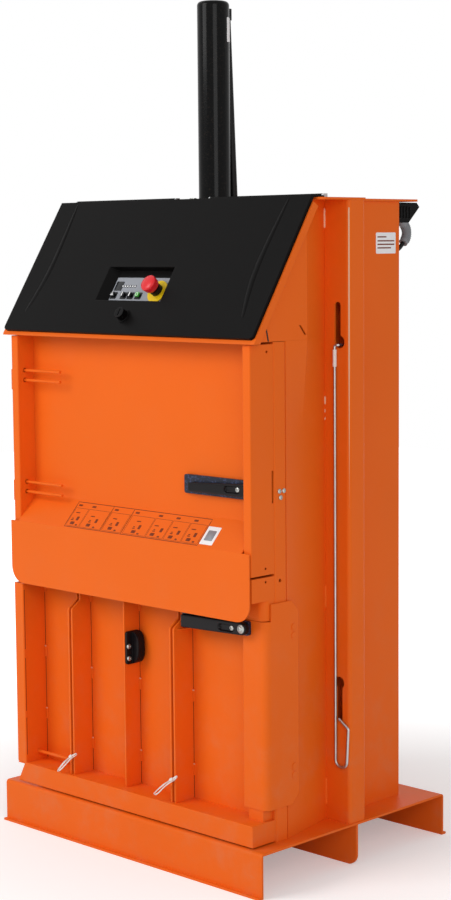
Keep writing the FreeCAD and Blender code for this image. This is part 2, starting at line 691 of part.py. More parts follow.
def skin_section(side, crease):
    """Return the section of a side skin from its post to its column, bent at the crease."""
    front = "post_front + post_depth"
    outer = [("post_face", front), (crease, "cheek_back"), ("wall_face", "column_front")]
    inner = [(f"{across} - wall_sheet", along) for across, along in reversed(outer)]
    return [(both(side, across), along) for across, along in outer + inner]


def column(side):
    """Channel up the outside of a side wall; the right one has two keyholes."""
    item = new_body(side + "_column")
    back = "column_front + column_depth"
    corners = [
        (both(side, "wall_face"), "column_front"),
        (both(side, "column_face"), "column_front"),
        (both(side, "column_face"), back),
        (both(side, "wall_face"), back),
        (both(side, "wall_face"), f"{back} - column_sheet"),
        (both(side, "column_face - column_sheet"), f"{back} - column_sheet"),
        (both(side, "column_face - column_sheet"), "column_front + column_sheet"),
        (both(side, "wall_face"), "column_front + column_sheet"),
    ]
    rounds = {1: "column_corner", 2: "column_corner"}
    add_plate(item, "XY", "base_height", "wall_top - base_height", corners, rounds)
    if side == "right":
        upper = box("upper_slot_middle - slot_width / 2", "upper_slot_middle + slot_width / 2",
                    "upper_slot_low", "upper_slot_high")
        lower = box("lower_slot_middle - slot_width / 2", "lower_slot_middle + slot_width / 2",
                    "lower_slot_low", "lower_hole_height")
        ends = "slot_width * 0.45"
        cut_plate(item, "XZ", "column_front", "column_sheet", upper, {2: ends, 3: ends})
        cut_plate(item, "XZ", "column_front", "column_sheet", lower, {0: ends, 1: ends})
        rounds_at = [("upper_hole_middle", "upper_hole_height"),
                     ("lower_slot_middle", "lower_hole_height")]
        cut_discs(item, "XZ", "column_front", "column_sheet", rounds_at, "keyhole_radius")


def post(side):
    """Channel at the front of a side wall, open towards the chamber."""
    item = new_body(side + "_post")
    back = "post_front + post_depth"
    corners = [
        (both(side, "wall_face"), "post_front"),
        (both(side, "post_face"), "post_front"),
        (both(side, "post_face"), back),
        (both(side, "wall_face - wall_sheet"), back),
        (both(side, "wall_face - wall_sheet"), f"{back} - post_sheet"),
        (both(side, "post_face - post_sheet"), f"{back} - post_sheet"),
        (both(side, "post_face - post_sheet"), "post_front + post_sheet"),
        (both(side, "wall_face"), "post_front + post_sheet"),
    ]
    rounds = {1: "post_sheet", 2: "post_sheet"}
    add_plate(item, "XY", "base_height", "post_top - base_height", corners, rounds)
    if side == "right":
        spot = [("post_front + post_hole_back", "post_hole_height")]
        cut_discs(item, "YZ", "post_face - post_sheet", "post_sheet", spot, "post_hole_radius")


def back_wall():
    """Back of the chamber, with the hole that lets the hose out."""
    item = new_body("back_wall")
    outline = box("-wall_face", "wall_face", "base_height", "wall_top")
    add_plate(item, "XZ", "wall_back", "back_sheet", outline)
    cut_discs(item, "XZ", "wall_back", "back_sheet", [("hose_low_x", "hose_turn")], "hose_hole")


def chamber_floor():
    """Raised floor with a folded groove under each strap."""
    item = new_body("chamber_floor")
    front = "post_front + floor_gap"
    length = f"wall_back - ({front})"
    half = "wall_face - wall_sheet"
    inside = f"{half} - floor_sheet"
    underside = "floor_top - floor_sheet"
    shell = [
        (minus(half), "base_height"), (minus(half), "floor_top"), (half, "floor_top"),
        (half, "base_height"), (inside, "base_height"), (inside, underside),
        (minus(inside), underside), (minus(inside), "base_height"),
    ]
    add_plate(item, "XZ", front, length, shell)
    for strap in ("left_strap", "right_strap"):
        left = f"{strap} - groove_width / 2"
        right = f"{strap} + groove_width / 2"
        bottom = "floor_top - groove_depth"
        add_plate(item, "XZ", front, length,
                  box(f"{left} - groove_sheet", f"{right} + groove_sheet",
                      f"{bottom} - groove_sheet", underside))
        cut_plate(item, "XZ", front, length, box(left, right, bottom, "floor_top"))


def header_rail():
    """Box section that ties the posts together above the upper door."""
    item = new_body("header_rail")
    back = "post_front + post_depth"
    outer = box("post_front", back, "rail_low", "post_top")
    inner = box("post_front + rail_sheet", f"{back} - rail_sheet",
                "rail_low + rail_sheet", "post_top - rail_sheet")
    half = "(wall_face - wall_sheet)"
    add_frame(item, "YZ", minus(half), f"2 * {half}", outer, inner, all_corners("rail_sheet"))


def chamber_front_plate():
    """Bent sheet that closes the chamber behind the hood."""
    item = new_body("chamber_front_plate")
    front = "post_front + post_depth"
    behind = "front_slack + front_sheet / cos(hood_tilt)"
    inner = f"{front} + front_sheet"
    corners = [
        (front, "rail_low"), (inner, "rail_low"), (inner, slope_z(inner, behind)),
        (slope_y("wall_top", behind), "wall_top"),
        (slope_y("wall_top", "front_slack"), "wall_top"), (front, slope_z(front, "front_slack")),
    ]
    half = "(wall_face - wall_sheet)"
    add_plate(item, "YZ", minus(half), f"2 * {half}", corners)


def cheek(side):
    """Folded side of the space under the hood: side, bottom and slanting back."""
    item = new_body(side + "_cheek")
    start, length = span(side, "post_face - cheek_sheet", "post_face")
    corners = [
        (slope_y("cheek_low"), "cheek_low"), ("cheek_back", "cheek_low"),
        ("cheek_back", slope_z("cheek_back")),
    ]
    add_plate(item, "YZ", start, length, corners)
    start, length = span(side, "wall_face", "post_face")
    bottom = box(slope_y("cheek_low"), "cheek_back", "cheek_low", "cheek_low + cheek_sheet")
    bottom[3] = (slope_y("cheek_low + cheek_sheet"), "cheek_low + cheek_sheet")
    add_plate(item, "YZ", start, length, bottom)
    lean = "(column_front - cheek_back) / (post_face - wall_face)"
    back = [("post_face", "cheek_back"), ("wall_face", "column_front"),
            ("wall_face", f"column_front - cheek_sheet * {lean}"),
            ("post_face - cheek_sheet", "cheek_back")]
    back = [(both(side, across), along) for across, along in back]
    add_plate(item, "XY", "cheek_low", "wall_top - cheek_low", back)
    edge = "cheek_back - cheek_sheet"
    above = [(edge, slope_z(edge)), (slope_y("wall_top"), "wall_top"), (edge, "wall_top")]
    cut_plate(item, "YZ", start, length, above)
    half = "cheek_slot_width / 2"
    slot = [(f"cheek_slot_high_y - {half}", "cheek_slot_high"),
            (f"cheek_slot_low_y - {half}", "cheek_slot_low"),
            (f"cheek_slot_low_y + {half}", "cheek_slot_low"),
            (f"cheek_slot_high_y + {half}", "cheek_slot_high")]
    start, length = span(side, "post_face - cheek_sheet", "post_face")
    cut_plate(item, "YZ", start, length, slot)


def top_plate():
    """Plate over the walls and columns that carries the cylinder."""
    item = new_body("top_plate")
    step = "column_front + column_depth"
    edge = "wall_face + top_overhang"
    right = [("column_face", "top_front"), ("column_face", step), (edge, step), (edge, "top_back")]
    left = [(minus(across), along) for across, along in reversed(right)]
    rounds = {0: "top_corner", 3: "top_corner", 4: "top_corner", 7: "top_corner"}
    add_plate(item, "XY", "wall_top", "top_sheet", right + left, rounds)
    cut_discs(item, "XY", "wall_top", "top_sheet", [("0", "cylinder_y")],
              "tube_radius + running_gap")
    cut_discs(item, "XY", "wall_top", "top_sheet", [("hose_low_x", "hose_y")], "hose_hole")


def door_stop_bracket():
    """Folded bracket on the right post between the two doors."""
    item = new_body("door_stop_bracket")
    back = "post_front"
    sheet_in = "bracket_front + bracket_sheet"
    corners = [
        (back, "bracket_high"), ("bracket_front", "bracket_high"), ("bracket_front", "bracket_low"),
        ("cover_front + bracket_sheet", "bracket_low"),
        ("cover_front + bracket_sheet", "bracket_low + bracket_sheet"),
        (sheet_in, "bracket_low + bracket_sheet"), (sheet_in, "bracket_high - bracket_sheet"),
        (back, "bracket_high - bracket_sheet"),
    ]
    add_plate(item, "YZ", "bracket_left", "bracket_right - bracket_left", corners)
    end_start = "bracket_right - bracket_sheet"
    skirt = [
        ("bracket_left", "cover_front"), ("bracket_right", "cover_front"), ("bracket_right", back),
        (end_start, back), (end_start, "cover_front + bracket_sheet"),
        ("bracket_left", "cover_front + bracket_sheet"),
    ]
    skirt_low = "lower_top + skirt_gap"
    add_plate(item, "XY", skirt_low, f"bracket_low + bracket_sheet - ({skirt_low})", skirt,
              {1: "cover_bend", 4: "cover_bend - bracket_sheet"})
    end = box("bracket_front", back, "bracket_low", "bracket_high")
    add_plate(item, "YZ", end_start, "bracket_sheet", end)
    cut_discs(item, "YZ", end_start, "bracket_sheet", [("side_hole_y", "bracket_hole_height")],
              "side_hole_radius")


# ---------------------------------------------------------------- door hinges


HINGE_HEIGHTS = ("upper_hinge_high", "upper_hinge_low", "lower_hinge_high", "lower_hinge_low")


def hinge_lugs():
    """Four lugs on the left post, each with its knuckle and pin."""
    item = new_body("hinge_lugs")
    arm_right = "hinge_x + knuckle_radius - lug_inset"
    for top in HINGE_HEIGHTS:
        low = f"{top} - knuckle_height"
        arm = [
            (f"{arm_right} - lug_sheet", "hinge_y"), (arm_right, "hinge_y"),
            (arm_right, "post_front + lug_lap"), ("-post_face", "post_front + lug_lap"),
            ("-post_face", "lug_back"), (f"{arm_right} - lug_sheet", "lug_back"),
        ]
        add_plate(item, "XY", low, "knuckle_height", arm)
        add_discs(item, "XY", low, "knuckle_height", [("hinge_x", "hinge_y")], "knuckle_radius")
        add_discs(item, "XY", low, "2 * knuckle_height", [("hinge_x", "hinge_y")], "pin_radius")


def add_knuckles(item, heights, door_side):
    """Add the door's half of a hinge: knuckle, leaf and bore at each height."""
    for top in heights:
        low = f"{top} + knuckle_gap"
        leaf = box("hinge_x", minus(door_side), "hinge_y - leaf_sheet / 2",
                   "hinge_y + leaf_sheet / 2")
        add_plate(item, "XY", low, "knuckle_height", leaf)
        add_discs(item, "XY", low, "knuckle_height", [("hinge_x", "hinge_y")], "knuckle_radius")
        cut_discs(item, "XY", low, "knuckle_height", [("hinge_x", "hinge_y")],
                  "pin_radius + running_gap")


# ---------------------------------------------------------------- upper door


def upper_door_panel():
    """One sheet: panel, chute sloping out and apron hanging from the fold."""
    item = new_body("upper_door_panel")
    half = "(upper_half - strip_width)"
    back = "panel_face + door_sheet"
    apron_back = "apron_front + door_sheet"
    corners = [
        ("panel_face", "upper_top"), ("panel_face", "chute_top"),
        ("apron_front", "fold_height"), ("apron_front", "fold_height - 3 * door_sheet"),
        (apron_back, "fold_height - 3 * door_sheet"), (apron_back, "fold_height - door_sheet / 2"),
        (back, "chute_top - door_sheet / 2"), (back, "upper_top"),
    ]
    add_plate(item, "YZ", minus(half), f"2 * {half}", corners)
    apron = box("-apron_left", "upper_half", "apron_low", "fold_height")
    add_plate(item, "XZ", "apron_front", "door_sheet", apron,
              {0: "apron_corner", 1: "apron_corner"})
    spindle = [("handle_x", "upper_handle_z")]
    cut_discs(item, "XZ", "panel_face", "door_sheet", spindle, "spindle_radius + running_gap")


def upper_door_cheek(side):
    """Folded channel down one edge of the upper door."""
    item = new_body("upper_door_" + side + "_cheek")
    back = "post_front - door_gap"
    inner = "upper_half - strip_width"
    panel_back = "panel_face + door_sheet"
    corners = [
        (both(side, "upper_half"), back),
        (both(side, "upper_half"), "door_front"),
        (both(side, inner), "door_front"),
        (both(side, inner), panel_back),
        (both(side, f"{inner} + door_sheet"), panel_back),
        (both(side, f"{inner} + door_sheet"), "door_front + door_sheet"),
        (both(side, "upper_half - door_sheet"), "door_front + door_sheet"),
        (both(side, "upper_half - door_sheet"), back),
    ]
    add_plate(item, "XY", "upper_low", "upper_top - upper_low", corners,
              {1: "door_sheet", 2: "door_sheet"})
    if side == "right":
        face = "upper_half - door_sheet"
        holes = [("side_hole_y", "cheek_hole_low"), ("cheek_hole_high_y", "cheek_hole_high")]
        cut_discs(item, "YZ", face, "door_sheet", holes, "side_hole_radius")
        slit = box(f"{back} - latch_slit_depth", back, "latch_slit_low", "latch_slit_high")
        cut_plate(item, "YZ", face, "door_sheet", slit)
    else:
        add_knuckles(item, HINGE_HEIGHTS[:2], "upper_half")
        spots = [("bar_y", height) for height in bar_heights()]
        cut_discs(item, "YZ", minus(f"{inner} + door_sheet"), "door_sheet", spots, "bar_hole")


def bar_heights():
    """Return the heights of the four hinge bars."""
    heights = []
    for top in HINGE_HEIGHTS[:2]:
        heights.append(top)
        heights.append(f"{top} + bar_pitch")
    return heights


def upper_door_bars():
    """Four round bars from the hinge side through the cheek onto the panel."""
    item = new_body("upper_door_bars")
    start = "-upper_half + door_sheet"
    run = f"bar_end - ({start})"
    for height in bar_heights():
        add_discs(item, "YZ", start, run, [("bar_y", height)], "bar_radius")


# ---------------------------------------------------------------- lower door


def lower_door_skin():
    """Sheet of the lower door, with a slot along each strap line."""
    item = new_body("lower_door_skin")
    start = "post_front - door_gap - door_sheet"
    outline = box("-lower_left", "upper_half", "sill_low", "lower_top")
    add_plate(item, "XZ", start, "door_sheet", outline)
    for strap in ("left_strap", "right_strap"):
        slot = box(f"{strap} - strap_slot / 2", f"{strap} + strap_slot / 2",
                   "sill_top + slot_margin", "lower_top - slot_crown")
        cut_plate(item, "XZ", start, "door_sheet", slot)
    spindle = [("handle_x", "lower_handle_z")]
    cut_discs(item, "XZ", start, "door_sheet", spindle, "spindle_radius + running_gap")


SKIN_FACE = "post_front - door_gap - door_sheet"


def lower_door_channel():
    """Folded channel down the hinge edge of the lower door, with a bar to the left strap rib."""
    item = new_body("lower_door_channel")
    left = "-lower_left"
    right = "-lower_left + hinge_channel"
    corners = [
        (left, SKIN_FACE), (left, "door_front"), (right, "door_front"), (right, SKIN_FACE),
        (f"{right} - door_sheet", SKIN_FACE), (f"{right} - door_sheet", "door_front + door_sheet"),
        (f"{left} + door_sheet", "door_front + door_sheet"), (f"{left} + door_sheet", SKIN_FACE),
    ]
    add_plate(item, "XY", "sill_top", "lower_top - sill_top", corners,
              {1: "door_sheet", 2: "door_sheet"})
    add_knuckles(item, HINGE_HEIGHTS[2:], "lower_left")
    bar_start = f"{right} - door_sheet"
    bar_end = "left_strap - rib_width / 2"
    add_discs(item, "YZ", bar_start, f"{bar_end} - ({bar_start})",
              [("strap_bar_y", "strap_bar_z")], "strap_bar_radius")


def strap_ribs():
    """Two pairs of plates with a strap slot between them, set back beside the handle."""
    item = new_body("strap_ribs")
    side = [
        (SKIN_FACE, "sill_top"), ("rib_front", "sill_top"), ("rib_front", "rib_bend_low"),
        ("rib_set_back", "rib_bend_high"), ("rib_set_back", "lower_top"),
        (SKIN_FACE, "lower_top"),
    ]
    for strap in ("left_strap", "right_strap"):
        right = f"{strap} + rib_width / 2"
        for near in (f"{strap} - rib_width / 2", f"{right} - rib_sheet"):
            add_plate(item, "YZ", near, "rib_sheet", side, {2: "rib_bend", 3: "rib_bend"})
        add_tabs(item, right)
    shelf = [(right, SKIN_FACE), (right, "rib_front + rib_bend"),
             (f"{right} + shelf_reach", SKIN_FACE)]
    add_plate(item, "XY", "shelf_height", "shelf_sheet", shelf)


def add_tabs(item, side):
    """Add the weld tabs along the right side of a rib."""
    for low in ("tab_low", "tab_middle", "tab_high"):
        tab = box(side, f"{side} + tab_width", low, f"{low} + tab_height")
        add_plate(item, "XZ", f"{SKIN_FACE} - tab_thick", "tab_thick", tab)


def middle_rib():
    """Single plate on edge between the strap ribs."""
    item = new_body("middle_rib")
    left = "middle_rib_x - middle_rib_sheet"
    side = box("middle_rib_front", SKIN_FACE, "sill_top", "lower_top")
    add_plate(item, "YZ", left, "middle_rib_sheet", side, {3: "rib_bend"})
    add_tabs(item, "middle_rib_x")


def lower_sill():
    """Folded sill under the lower door, its left end cut on a slant."""
    item = new_body("lower_sill")
    corners = [
        (SKIN_FACE, "sill_top"), ("sill_front", "sill_top"), ("sill_front", "sill_low"),
        ("sill_front + door_sheet", "sill_low"),
        ("sill_front + door_sheet", "sill_top - door_sheet"),
        (SKIN_FACE, "sill_top - door_sheet"),
    ]
    add_plate(item, "YZ", "-sill_left", "sill_left + upper_half", corners, {1: "door_sheet"})
    slant = [
        ("-sill_left", "sill_low"), ("-sill_left + sill_slant", "sill_top - door_sheet"),
        ("-sill_left", "sill_top - door_sheet"),
    ]
    cut_plate(item, "XZ", "sill_front", "door_sheet", slant)
    end = box("sill_front", SKIN_FACE, "sill_low", "sill_top")
    add_plate(item, "YZ", "upper_half - door_sheet", "door_sheet", end)


def latch_cover():
    """Sheet wrapped round the latch side: inner return, front, bend and long side."""
    item = new_body("latch_cover")
    inner_right = "cover_right - cover_sheet"
    corners = [
        ("cover_left", SKIN_FACE), ("cover_left", "cover_front"), ("cover_right", "cover_front"),
        ("cover_right", "cover_back"), (inner_right, "cover_back"),
        (inner_right, "cover_front + cover_sheet"),
        ("cover_left + cover_sheet", "cover_front + cover_sheet"),
        ("cover_left + cover_sheet", SKIN_FACE),
    ]
    rounds = {1: "cover_sheet", 2: "cover_bend", 5: "cover_bend - cover_sheet"}
    add_plate(item, "XY", "cover_low", "lower_top - cover_low", corners, rounds)
    side_start = "cover_front + cover_bend"
    side = box(side_start, "cover_back", "lower_top - cover_sheet", "cover_high")
    add_plate(item, "YZ", inner_right, "cover_sheet", side)
    corner = [("cover_back - cover_round", "cover_high"), ("cover_back", "cover_high"),
              ("cover_back", "cover_high - cover_round")]
    cut_plate(item, "YZ", inner_right, "cover_sheet", corner)
    foot = [("cover_back - cover_round", "cover_low"), ("cover_back", "cover_low"),
            ("cover_back", "cover_low + cover_round")]
    cut_plate(item, "YZ", inner_right, "cover_sheet", foot)
    foot_outline = [
        ("foot_left", SKIN_FACE), ("foot_left", "foot_front"), ("foot_right", "foot_front"),
        ("foot_right", SKIN_FACE), ("foot_right - door_sheet", SKIN_FACE),
        ("foot_right - door_sheet", "foot_front + door_sheet"),
        ("foot_left + door_sheet", "foot_front + door_sheet"), ("foot_left + door_sheet", SKIN_FACE),
    ]
    add_plate(item, "XY", "sill_top", "foot_height", foot_outline)
    dimples = []
    for middle in ("upper_boss_z", "lower_boss_z"):
        dimples.append(("boss_back", f"{middle} + boss_pitch / 2"))
        dimples.append(("boss_back", f"{middle} - boss_pitch / 2"))
    add_discs(item, "YZ", "cover_right", "boss_rise", dimples, "boss_radius")
    spindle = [("handle_x", "lower_handle_z")]
    cut_discs(item, "XZ", "cover_front", "cover_sheet", spindle, "spindle_radius + running_gap")


def strap_clip():
    """Moulded clip on the right side of the middle rib: a plate and a rounded body."""
    item = new_body("strap_clip")
    plate = [
        ("clip_front", "clip_low"), ("clip_back", "clip_low"), ("clip_back", "clip_high"),
        ("clip_front + clip_chamfer", "clip_high"), ("clip_front", "clip_high - clip_chamfer"),
    ]
    add_plate(item, "YZ", "middle_rib_x", "clip_plate", plate)
    face = "middle_rib_x + clip_plate"
    out = "middle_rib_x + clip_thick"
    body = [
        (face, "clip_body_front"), (f"{out} - clip_waist", "clip_body_front"),
        (out, "clip_body_front + clip_waist"), (out, "clip_back"), (face, "clip_back"),
    ]
    add_plate(item, "XY", "clip_low + clip_chamfer", "clip_high - clip_low - 2 * clip_chamfer",
              body, {1: "plate_corner", 2: "plate_corner"})


# ---------------------------------------------------------------- handles


def handle_plate(door):
    """Plate on which a lever turns."""
    item = new_body(door + "_handle_plate")
    axis = door + "_handle_z"
    if door == "upper":
        face = "panel_face"
        outline = box("handle_plate_left", "handle_plate_right",
                      f"{axis} - handle_plate_drop", f"{axis} + handle_plate_rise")
    else:
        face = "cover_front"
        outline = box("handle_plate_left", "handle_x + spindle_radius + plate_corner",
                      f"{axis} - lower_plate_rise", f"{axis} + lower_plate_rise")
    start = f"{face} - handle_plate_thick"
    add_plate(item, "XZ", start, "handle_plate_thick", outline, all_corners("plate_corner"))
    spindle = [("handle_x", axis)]
    cut_discs(item, "XZ", start, "handle_plate_thick", spindle, "spindle_radius + running_gap")


def lever(door):
    """Lever with its round end on the spindle and an oval recess."""
    item = new_body(door + "_lever")
    axis = door + "_handle_z"
    face = "panel_face" if door == "upper" else "cover_front"
    start = f"{face} - handle_plate_thick - lever_gap - lever_thick"
    tip = door + "_lever_left"
    corners = [
        (tip, f"{axis} - {door}_tip_drop"), ("handle_x", f"{axis} - lever_end"),
        ("handle_x", f"{axis} + lever_end"), (tip, f"{axis} + {door}_tip_rise"),
    ]
    rounds = {0: "plate_corner", 3: "plate_corner"}
    add_plate(item, "XZ", start, "lever_thick", corners, rounds)
    add_discs(item, "XZ", start, "lever_thick", [("handle_x", axis)], "lever_end")
    oval = box("recess_middle - recess_half", "recess_middle + recess_half",
               f"{axis} - recess_rise", f"{axis} + recess_rise")
    cut_plate(item, "XZ", start, "recess_depth", oval, all_corners("recess_round"))
    back = "post_front + post_sheet + tongue_gap"
    reach = f"{back} - ({start}) - lever_thick / 2"
    add_discs(item, "XZ", f"{start} + lever_thick / 2", reach, [("handle_x", axis)],
              "spindle_radius")


def latch_tongue(door):
    """Tongue on the end of the spindle, behind the door."""
    item = new_body(door + "_latch_tongue")
    axis = door + "_handle_z"
    start = "post_front + post_sheet + tongue_gap"
    add_discs(item, "XZ", start, "tongue_thick", [("handle_x", axis)], "tongue_half")
    if door == "upper":
        bar = box("handle_x - tongue_half", "handle_x + tongue_half", axis,
                  f"{axis} + tongue_reach")
        rounds = {2: "tongue_corner", 3: "tongue_corner"}
    else:
        bar = box("handle_x - tongue_half", "handle_x + tongue_half",
                  f"{axis} - tongue_reach", axis)
        rounds = {0: "tongue_corner", 1: "tongue_corner"}
    add_plate(item, "XZ", start, "tongue_thick", bar, rounds)


# ---------------------------------------------------------------- hood and controls


def hood_tray():
    """Shallow folded tray under the hood cover."""
    item = place_on_slope(new_body("hood_tray"))
    outline = box("-tray_half", "tray_half", "-tray_lip", "tray_top")
    rounds = {0: "tray_corner", 1: "tray_corner"}
    depth = "hood_thick - shell_thick"
    add_plate(item, "XY", "-hood_thick", depth, outline, rounds)
    hollow = box("-tray_half + tray_sheet", "tray_half - tray_sheet",
                 "-tray_lip + tray_sheet", "tray_top - tray_sheet")
    cut_plate(item, "XY", "-hood_thick", f"{depth} - tray_sheet", hollow)
    outer = "(shell_thick * sin(hood_tilt) - lip_drop) / cos(hood_tilt)"
    inner = "(hood_thick * sin(hood_tilt) - lip_drop) / cos(hood_tilt)"
    foot = [(f"{outer}", "-shell_thick"), (f"{outer} + tray_sheet", "-shell_thick"),
            (f"{inner} + tray_sheet", "-hood_thick"), (f"{inner}", "-hood_thick")]
    add_plate(item, "YZ", "-tray_half + tray_sheet", "2 * (tray_half - tray_sheet)", foot)
    below = [("-tray_lip", "-shell_thick"), (outer, "-shell_thick"), (inner, "-hood_thick"),
             ("-tray_lip", "-hood_thick")]
    cut_plate(item, "YZ", "-tray_half", "2 * tray_half", below)
    margin = "pocket_wall + pocket_slack"
    opening = box(f"pocket_left - ({margin})", f"pocket_right + {margin}",
                  f"pocket_low - ({margin})", f"pocket_high + {margin}")
    cut_plate(item, "XY", "-hood_thick", depth, opening)
    cut_discs(item, "XY", "-hood_thick", depth, [("lock_x", "lock_u")], "lock_bezel")


def hood_cover():
    """Moulded cover: sloping shell, flat flange, barrels and the control pocket."""
    item = place_on_slope(new_body("hood_cover"))
    outline = box("-hood_half", "hood_half", "0", "hood_length")
    rounds = {0: "shell_corner", 1: "shell_corner"}
    add_plate(item, "XY", "-shell_thick", "shell_thick", outline, rounds)
    shift = "(shell_thick * sin(hood_tilt) - flange_thick) / cos(hood_tilt)"
    flange = [
        ("hood_length - shell_thick", "0"), ("hood_length - shell_thick", "-shell_thick"),
        (f"hood_length + {shift}", "-shell_thick"), flange_point("flange_run", "flange_thick"),
        flange_point("flange_run", "0"), ("hood_length", "0"),
    ]
    add_plate(item, "YZ", "-hood_half", "2 * hood_half", flange)
    axis = flange_point("flange_run + hood_barrel_radius", "flange_thick - hood_barrel_radius")
    web_end = "flange_run + hood_barrel_radius"
    web = [flange_point("flange_run", "0"), flange_point("flange_run", "flange_thick"),
           flange_point(web_end, "flange_thick"), flange_point(web_end, "0")]
    for start in ("hood_barrel_start", minus("hood_barrel_start + hood_barrel_length")):
        add_plate(item, "YZ", start, "hood_barrel_length", web)
        add_discs(item, "YZ", start, "hood_barrel_length", [axis], "hood_barrel_radius")
        cut_discs(item, "YZ", start, "hood_barrel_length", [axis],
                  "hood_rod_radius + running_gap")
    surround = box("pocket_left - pocket_wall", "pocket_right + pocket_wall",
                   "pocket_low - pocket_wall", "pocket_high + pocket_wall")
    depth = "pocket_depth + pocket_wall"
    add_plate(item, "XY", minus(depth), f"{depth} - shell_thick / 2", surround)
    recess = box("pocket_left + pocket_slant", "pocket_right", "pocket_low", "pocket_high")
    cut_plate(item, "XY", "-pocket_depth", "pocket_depth", recess)
    slant = [("pocket_left", "0"), ("pocket_left + pocket_slant", "-pocket_depth"),
             ("pocket_left + pocket_slant", "0")]
    cut_plate(item, "XZ", "pocket_low", "pocket_high - pocket_low", slant)
    cut_discs(item, "XY", minus(depth), "pocket_wall",
              STEMS, "button_stem + running_gap")
    cut_discs(item, "XY", minus(depth), "pocket_wall", [("stop_x", "stop_u")],
              "stop_stem + running_gap")
    lock = [("lock_x", "lock_u")]
    add_discs(item, "XY", "-shell_thick", "shell_thick + lock_bezel_rise", lock, "lock_bezel")
    cut_discs(item, "XY", "-shell_thick", "shell_thick + lock_bezel_rise", lock,
              "lock_radius + running_gap")


def flange_point(run, drop):
    """Return a point of the hood's flat flange: back from its front edge and down from its top."""
    return (f"hood_length + ({run}) * sin(hood_tilt) - ({drop}) * cos(hood_tilt)",
            f"-({run}) * cos(hood_tilt) - ({drop}) * sin(hood_tilt)")


def hood_hinge_rods():
    """Two rods with a lug at each end, standing on the top plate."""
    item = new_body("hood_hinge_rods")
    y = "hood_foot_y + hood_length * sin(hood_tilt) + flange_run + hood_barrel_radius"
    z = "hood_foot_z + hood_length * cos(hood_tilt) + hood_barrel_radius - flange_thick"
    base = "wall_top + top_sheet"
    for sign in (1, -1):
        inner = "hood_barrel_start - hood_lug_gap - hood_lug_thick"
        outer = "hood_barrel_start + hood_barrel_length + hood_lug_gap"
        length = "hood_barrel_length + 2 * hood_lug_gap + 2 * hood_lug_thick"
        start = inner if sign > 0 else f"-({inner}) - ({length})"
        add_discs(item, "YZ", start, length, [(y, z)], "hood_rod_radius")
        for place in (inner, outer):
            left = place if sign > 0 else f"-({place}) - hood_lug_thick"
            lug = box(y, f"{y} + hood_lug_depth", base,
                      f"{z} + hood_barrel_radius")
            add_plate(item, "YZ", left, "hood_lug_thick", lug)


BUTTONS = ("first_button", "second_button", "third_button", "start_button")
STEMS = [(name + "_x", "button_row") for name in BUTTONS]


def control_panel():
    """Flat panel on the floor of the pocket."""
    item = place_on_slope(new_body("control_panel"))
    outline = box("panel_left", "panel_right", "panel_low", "panel_high")
    add_plate(item, "XY", "-pocket_depth", "panel_thick", outline)
    cut_discs(item, "XY", "-pocket_depth", "panel_thick",
              STEMS, "button_stem + running_gap")
    cut_discs(item, "XY", "-pocket_depth", "panel_thick", [("stop_x", "stop_u")],
              "stop_stem + running_gap")


def stop_plate():
    """Plate under the stop button."""
    item = place_on_slope(new_body("stop_plate"))
    low = "-pocket_depth + panel_thick"
    outline = box("stop_x - stop_plate_half", "stop_x + stop_plate_half", "stop_plate_low",
                  "stop_plate_high")
    add_plate(item, "XY", low, "stop_plate_thick", outline, all_corners("plate_corner"))
    cut_discs(item, "XY", low, "stop_plate_thick", [("stop_x", "stop_u")],
              "stop_stem + running_gap")


def stop_collar():
    """Ring round the stem of the stop button."""
    item = place_on_slope(new_body("stop_collar"))
    low = "-pocket_depth + panel_thick + stop_plate_thick"
    add_discs(item, "XY", low, "collar_height", [("stop_x", "stop_u")], "collar_radius")
    cut_discs(item, "XY", low, "collar_height", [("stop_x", "stop_u")],
              "stop_stem + running_gap")


def stop_button():
    """Mushroom button with its stem."""
    item = place_on_slope(new_body("stop_button"))
    low = "-pocket_depth - pocket_wall - stop_reach"
    collar_top = "-pocket_depth + panel_thick + stop_plate_thick + collar_height"
    head = f"{collar_top} + stop_travel + button_slack"
    centre = [("stop_x", "stop_u")]
    add_discs(item, "XY", low, f"{head} - ({low})", centre, "stop_stem")
    add_discs(item, "XY", head, "stop_head_thick", centre, "stop_head")


def push_button(name):
    """Square cap on a round stem."""
    item = place_on_slope(new_body(name))
    along = name + "_x"
    face = "-pocket_depth + panel_thick"
    cap_low = f"{face} + button_travel + button_slack"
    half = "button_cap / 2"
    cap = box(f"{along} - {half}", f"{along} + {half}", f"button_row - {half}",
              f"button_row + {half}")
    add_plate(item, "XY", cap_low, "button_rise - button_travel - button_slack", cap,
              all_corners("button_round"))
    low = f"{face} - button_reach"
    add_discs(item, "XY", low, f"{cap_low} - ({low})", [(along, "button_row")], "button_stem")


def lock_knob():
    """Round lock barrel with a slot across its face."""
    item = place_on_slope(new_body("lock_knob"))
    low = "-shell_thick - lock_reach"
    add_discs(item, "XY", low, f"lock_rise - ({low})", [("lock_x", "lock_u")], "lock_radius")
    slot = box("lock_x - lock_slot / 2", "lock_x + lock_slot / 2",
               "lock_u - lock_slot_half", "lock_u + lock_slot_half")
    cut_plate(item, "XY", "lock_rise - lock_slot", "lock_slot", slot)


# ---------------------------------------------------------------- cylinder and press


